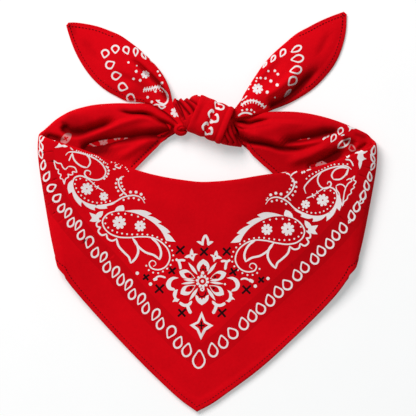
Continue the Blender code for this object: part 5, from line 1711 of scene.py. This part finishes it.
def tail_stitches(tail, surface, hem_thickness):
    """The stitch lines along a tail's long edge and its short one, on both faces."""
    height = hem_thickness / MM / 2 - STITCH_SINK
    columns = np.arange(surface.columns)
    turn = hermite(range(len(tail.sections)), [(section.turn, 0.0) for section in tail.sections])
    bent = turn(columns / surface.columns * (len(tail.sections) - 1))[:, 0]
    last_row = surface.rows - 1
    short = int(np.nonzero(bent > 60.0)[0].max())
    paths = []
    for edge, step, first in ((0, 1, int(surface.columns * 0.30)), (last_row, -1, short)):
        chosen = columns[first:].astype(float)
        run = np.zeros(len(chosen))
        row = np.full(len(chosen), float(edge))
        near = surface.at(row, chosen)
        while (run < STITCH_INSET).any() and 0 <= row[0] + 0.25 * step <= last_row:
            moved = row + np.where(run < STITCH_INSET, 0.25 * step, 0.0)
            point = surface.at(moved, chosen)
            run = run + norm(point - near, axis=1)
            row, near = moved, point
        over = surface.at(np.full(len(chosen), float(last_row - edge)), chosen)
        keep = (run >= STITCH_INSET * 0.95) & (norm(over - near, axis=1) >= STITCH_END)
        row, chosen = row[keep], chosen[keep]
        points = surface.at(row, chosen)
        ahead = np.gradient(points, axis=0)
        across = surface.at(row + 0.2, chosen) - surface.at(row - 0.2, chosen)
        paths += [lifted(points, ahead, across, height), lifted(points, ahead, across, -height)]
    return paths


def path_mesh(name, paths):
    """A mesh of edges alone, one chain for each path."""
    points, edges = [], []
    for path in paths:
        start = len(points)
        points.extend((path * MM).tolist())
        edges.extend((i, i + 1) for i in range(start, len(points) - 1))
    mesh = bpy.data.meshes.new(name)
    mesh.from_pydata(points, edges, [])
    return mesh


def stitch_tree():
    """Stitches laid end to end along the edges of a mesh, and the keys of the tree's inputs."""
    nodes = Nodes(bpy.data.node_groups.new("stitch_row", "GeometryNodeTree"))
    new_socket = nodes.tree.interface.new_socket
    kinds = {"Geometry": "Geometry", "Seed": "Int", "Thread": "Material"}
    keys = {}
    for label in ("Geometry", "Pitch", "Length", "Width", "Seed", "Thread"):
        kind = "NodeSocket" + kinds.get(label, "Float")
        keys[label] = new_socket(label, in_out="INPUT", socket_type=kind).identifier
    new_socket("Geometry", in_out="OUTPUT", socket_type="NodeSocketGeometry")
    given = nodes.node("NodeGroupInput").outputs
    curve = nodes.node("GeometryNodeMeshToCurve", Mesh=given["Geometry"]).outputs[0]
    even = nodes.node(
        "GeometryNodeResampleCurve", {"mode": "LENGTH"}, Curve=curve, Length=given["Pitch"]
    )
    tangent = nodes.node("GeometryNodeInputTangent").outputs[0]
    facing = nodes.node("FunctionNodeAlignRotationToVector", {"axis": "X"}, Vector=tangent)
    shape = nodes.node("GeometryNodeMeshUVSphere", Segments=6, Rings=4, Radius=0.5)
    uneven = nodes.node("FunctionNodeRandomValue", {"data_type": "FLOAT"}, Seed=given["Seed"])
    uneven.inputs[2].default_value, uneven.inputs[3].default_value = 0.82, 1.08
    size = nodes.node("ShaderNodeCombineXYZ", X=given["Length"], Y=given["Width"], Z=given["Width"])
    scale = nodes.node("ShaderNodeVectorMath", {"operation": "SCALE"}, Scale=uneven.outputs[1])
    nodes.join(scale.inputs[0], size.outputs[0])
    laid = nodes.node(
        "GeometryNodeInstanceOnPoints",
        Points=even.outputs[0],
        Instance=shape.outputs[0],
        Rotation=facing.outputs[0],
        Scale=scale.outputs[0],
    ).outputs[0]
    real = nodes.node("GeometryNodeRealizeInstances", Geometry=laid).outputs[0]
    finish = nodes.node("GeometryNodeSetMaterial", Geometry=real, Material=given["Thread"])
    nodes.join(nodes.node("NodeGroupOutput").inputs[0], finish.outputs[0])
    return nodes.tree, keys


def stitched_piece(name, paths, cloth):
    """The stitches along the paths, as one plain mesh."""
    obj = added(name, path_mesh(name + "_paths", paths))
    row = obj.modifiers.new("stitches", "NODES")
    row.node_group, keys = stitch_tree()
    for label, value in (
        ("Pitch", cloth.stitch_pitch),
        ("Length", cloth.stitch_length),
        ("Width", cloth.stitch_width),
        ("Seed", STITCH_SEED),
        ("Thread", thread_look()),
    ):
        row[keys[label]] = value
    bpy.context.view_layer.update()
    ready = obj.evaluated_get(bpy.context.evaluated_depsgraph_get())
    plain = bpy.data.meshes.new_from_object(ready)
    obj.modifiers.clear()
    obj.data = plain
    plain.name = name
    plain.shade_smooth()
    return obj


def declare(piece, node):
    """Puts a piece in place of its solid: hides the solid and attaches the piece to the root."""
    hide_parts(node)
    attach(piece, "root")


def length(name, description, default, least, most, precision=4):
    return bpy.props.FloatProperty(
        name=name,
        description=description,
        default=default,
        min=least,
        max=most,
        precision=precision,
        unit="LENGTH",
    )


def amount(name, description, default, most, unit="NONE"):
    return bpy.props.FloatProperty(
        name=name, description=description, default=default, min=0.0, max=most, unit=unit
    )


def colour(name, description, default, most=1.0):
    return bpy.props.FloatVectorProperty(
        name=name, description=description, default=default, min=0.0, max=most, subtype="COLOR"
    )


class BandanaCloth(bpy.types.PropertyGroup):
    """Sizes and colours of the cloth."""

    thickness: length("Cloth thickness", "Thickness of one layer of cotton", 0.0007, 0.0002, 0.002)
    hem_thickness: length(
        "Hem thickness",
        "Thickness of the cloth where it is turned over and stitched",
        0.0014,
        0.0004,
        0.004,
    )
    weave_pitch: length(
        "Weave pitch",
        "Distance from one thread of the weave to the next but one",
        0.0005,
        0.0001,
        0.005,
        5,
    )
    stitch_pitch: length(
        "Stitch pitch", "Distance from one hem stitch to the next", 0.0023, 0.0005, 0.01
    )
    stitch_length: length("Stitch length", "Length of one hem stitch", 0.0017, 0.0003, 0.01)
    stitch_width: length("Stitch width", "Thickness of the sewing thread", 0.0008, 0.0001, 0.003)
    red: colour("Cloth red", "Colour of the dyed cotton", (0.70, 0.0011, 0.0062))
    white_ink: colour("White print", "Colour of the white motifs", (0.86, 0.80, 0.80))
    black_ink: colour("Black print", "Colour of the small crosses and dots", (0.012, 0.003, 0.005))
    thread: colour("Thread", "Colour of the hem's stitches", (0.10, 0.0006, 0.003))


class BandanaStage(bpy.types.PropertyGroup):
    """The ground that the bandana lies on, and its light."""

    floor_colour: colour("Floor colour", "Colour of the ground", (0.80, 0.72, 0.72))
    floor_glow: colour(
        "Floor glow",
        "How far the white ground is lit up by itself, less so in red, because the cloth already "
        "throws red light on it",
        (0.26, 0.335, 0.335),
        2.0,
    )
    key_power: amount("Key light", "Power of the soft light at the upper left", 83.0, 500.0, "POWER")
    sky_strength: amount("Surrounding light", "Strength of the even light from all round", 0.25, 5.0)


class BANDANA_OT_front(bpy.types.Operator):
    """Make the folded front panel with its printed design"""

    bl_idname = "bandana.front"
    bl_label = "Front Panel"

    def execute(self, context):
        cloth = context.scene.bandana_cloth
        piece = front_cloth(Loop(), cloth.thickness, cloth.hem_thickness)
        declare(piece, "front_panel")
        return {"FINISHED"}


class BANDANA_OT_bands(bpy.types.Operator):
    """Make the two gathered bands that run from the side folds to the knot"""

    bl_idname = "bandana.bands"
    bl_label = "Bands"

    def execute(self, context):
        cloth = context.scene.bandana_cloth
        for side in BANDS:
            piece = band_cloth(Loop(), side, cloth.thickness, cloth.hem_thickness)
            declare(piece, f"{side}_band")
        return {"FINISHED"}


class BANDANA_OT_tails(bpy.types.Operator):
    """Make the two free corners beyond the knot"""

    bl_idname = "bandana.tails"
    bl_label = "Tails"

    def execute(self, context):
        cloth = context.scene.bandana_cloth
        for tail in TAILS:
            surface = tail_surface(tail.sections, tail.creases)
            piece = tail_cloth(tail, surface, cloth.thickness, cloth.hem_thickness)
            declare(piece, f"{tail.side}_tail")
        return {"FINISHED"}


class BANDANA_OT_knot(bpy.types.Operator):
    """Make the knot: its broad wrap, the pleats at both ends and the tucked loop"""

    bl_idname = "bandana.knot"
    bl_label = "Knot"

    def execute(self, context):
        thickness = context.scene.bandana_cloth.thickness
        declare(wrap_cloth(thickness), "knot_wrap")
        for node, *rows in (
            ("knot_left", LEFT_TURN, LEFT_PLEATS),
            ("knot_right", RIGHT_TURN, RIGHT_PLEATS),
        ):
            declare(turn_cloth(node + "_cloth", *rows, thickness), node)
        declare(tuck_cloth(thickness * 0.7), "knot_tuck")
        return {"FINISHED"}


class BANDANA_OT_stitches(bpy.types.Operator):
    """Make the stitches of the hems"""

    bl_idname = "bandana.stitches"
    bl_label = "Hem Stitches"

    def execute(self, context):
        cloth = context.scene.bandana_cloth
        paths = loop_stitches(Loop(), cloth.hem_thickness)
        for tail in TAILS:
            surface = tail_surface(tail.sections, tail.creases)
            paths += tail_stitches(tail, surface, cloth.hem_thickness)
        piece = stitched_piece("hem_stitches", paths, cloth)
        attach(piece, "root")
        return {"FINISHED"}


class BANDANA_OT_stage(bpy.types.Operator):
    """Make the white ground, the soft light and the camera straight above"""

    bl_idname = "bandana.stage"
    bl_label = "Stage"

    def execute(self, context):
        scene = context.scene
        stage = scene.bandana_stage
        floor = bpy.data.meshes.new("floor")
        corners = [(-1, -1), (1, -1), (1, 1), (-1, 1)]
        corners = [(x * FLOOR_REACH, y * FLOOR_REACH, 0) for x, y in corners]
        floor.from_pydata(corners, [], [(0, 1, 2, 3)])
        floor.materials.append(floor_look())
        added("floor", floor)
        camera = added("camera", bpy.data.cameras.new("camera"))
        camera.data.lens, camera.data.sensor_width = CAMERA_LENS, CAMERA_SENSOR
        camera.data.clip_end = 20.0
        camera.location = CAMERA_PLACE
        scene.camera = camera
        key = added("key_light", bpy.data.lights.new("key_light", "AREA"))
        key.data.energy = stage.key_power
        key.data.size = KEY_SIZE
        key.location = KEY_PLACE
        key.rotation_euler = (Vector(KEY_AIM) - key.location).to_track_quat("-Z", "Y").to_euler()
        world = bpy.data.worlds.new("surroundings")
        world.use_nodes = True
        sky = world.node_tree.nodes["Background"]
        sky.inputs["Color"].default_value = (1.0, 1.0, 1.0, 1.0)
        sky.inputs["Strength"].default_value = stage.sky_strength
        scene.world = world
        scene.view_settings.view_transform = "Standard"
        return {"FINISHED"}


class BANDANA_PT_panel(bpy.types.Panel):
    """Lists the bandana's settings and the steps that make it"""

    bl_label = "Bandana"
    bl_idname = "BANDANA_PT_panel"
    bl_space_type = "VIEW_3D"
    bl_region_type = "UI"
    bl_category = "Bandana"

    def draw(self, context):
        for group in (context.scene.bandana_cloth, context.scene.bandana_stage):
            box = self.layout.box()
            for key in group.__annotations__:
                box.prop(group, key)
        column = self.layout.column(align=True)
        for step in STEPS:
            column.operator(step.bl_idname)


STEPS = (
    BANDANA_OT_front, BANDANA_OT_bands, BANDANA_OT_tails, BANDANA_OT_knot, BANDANA_OT_stitches,
    BANDANA_OT_stage,
)
CLASSES = (BandanaCloth, BandanaStage, *STEPS, BANDANA_PT_panel)


def register():
    for kind in CLASSES:
        bpy.utils.register_class(kind)
    bpy.types.Scene.bandana_cloth = bpy.props.PointerProperty(type=BandanaCloth)
    bpy.types.Scene.bandana_stage = bpy.props.PointerProperty(type=BandanaStage)


def unregister():
    del bpy.types.Scene.bandana_stage
    del bpy.types.Scene.bandana_cloth
    for kind in reversed(CLASSES):
        bpy.utils.unregister_class(kind)


def main():
    register()
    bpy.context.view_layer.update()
    bpy.ops.bandana.stitches()
    bpy.ops.bandana.front()
    bpy.ops.bandana.bands()
    bpy.ops.bandana.tails()
    bpy.ops.bandana.knot()
    bpy.ops.bandana.stage()


if __name__ == "__main__":
    main()
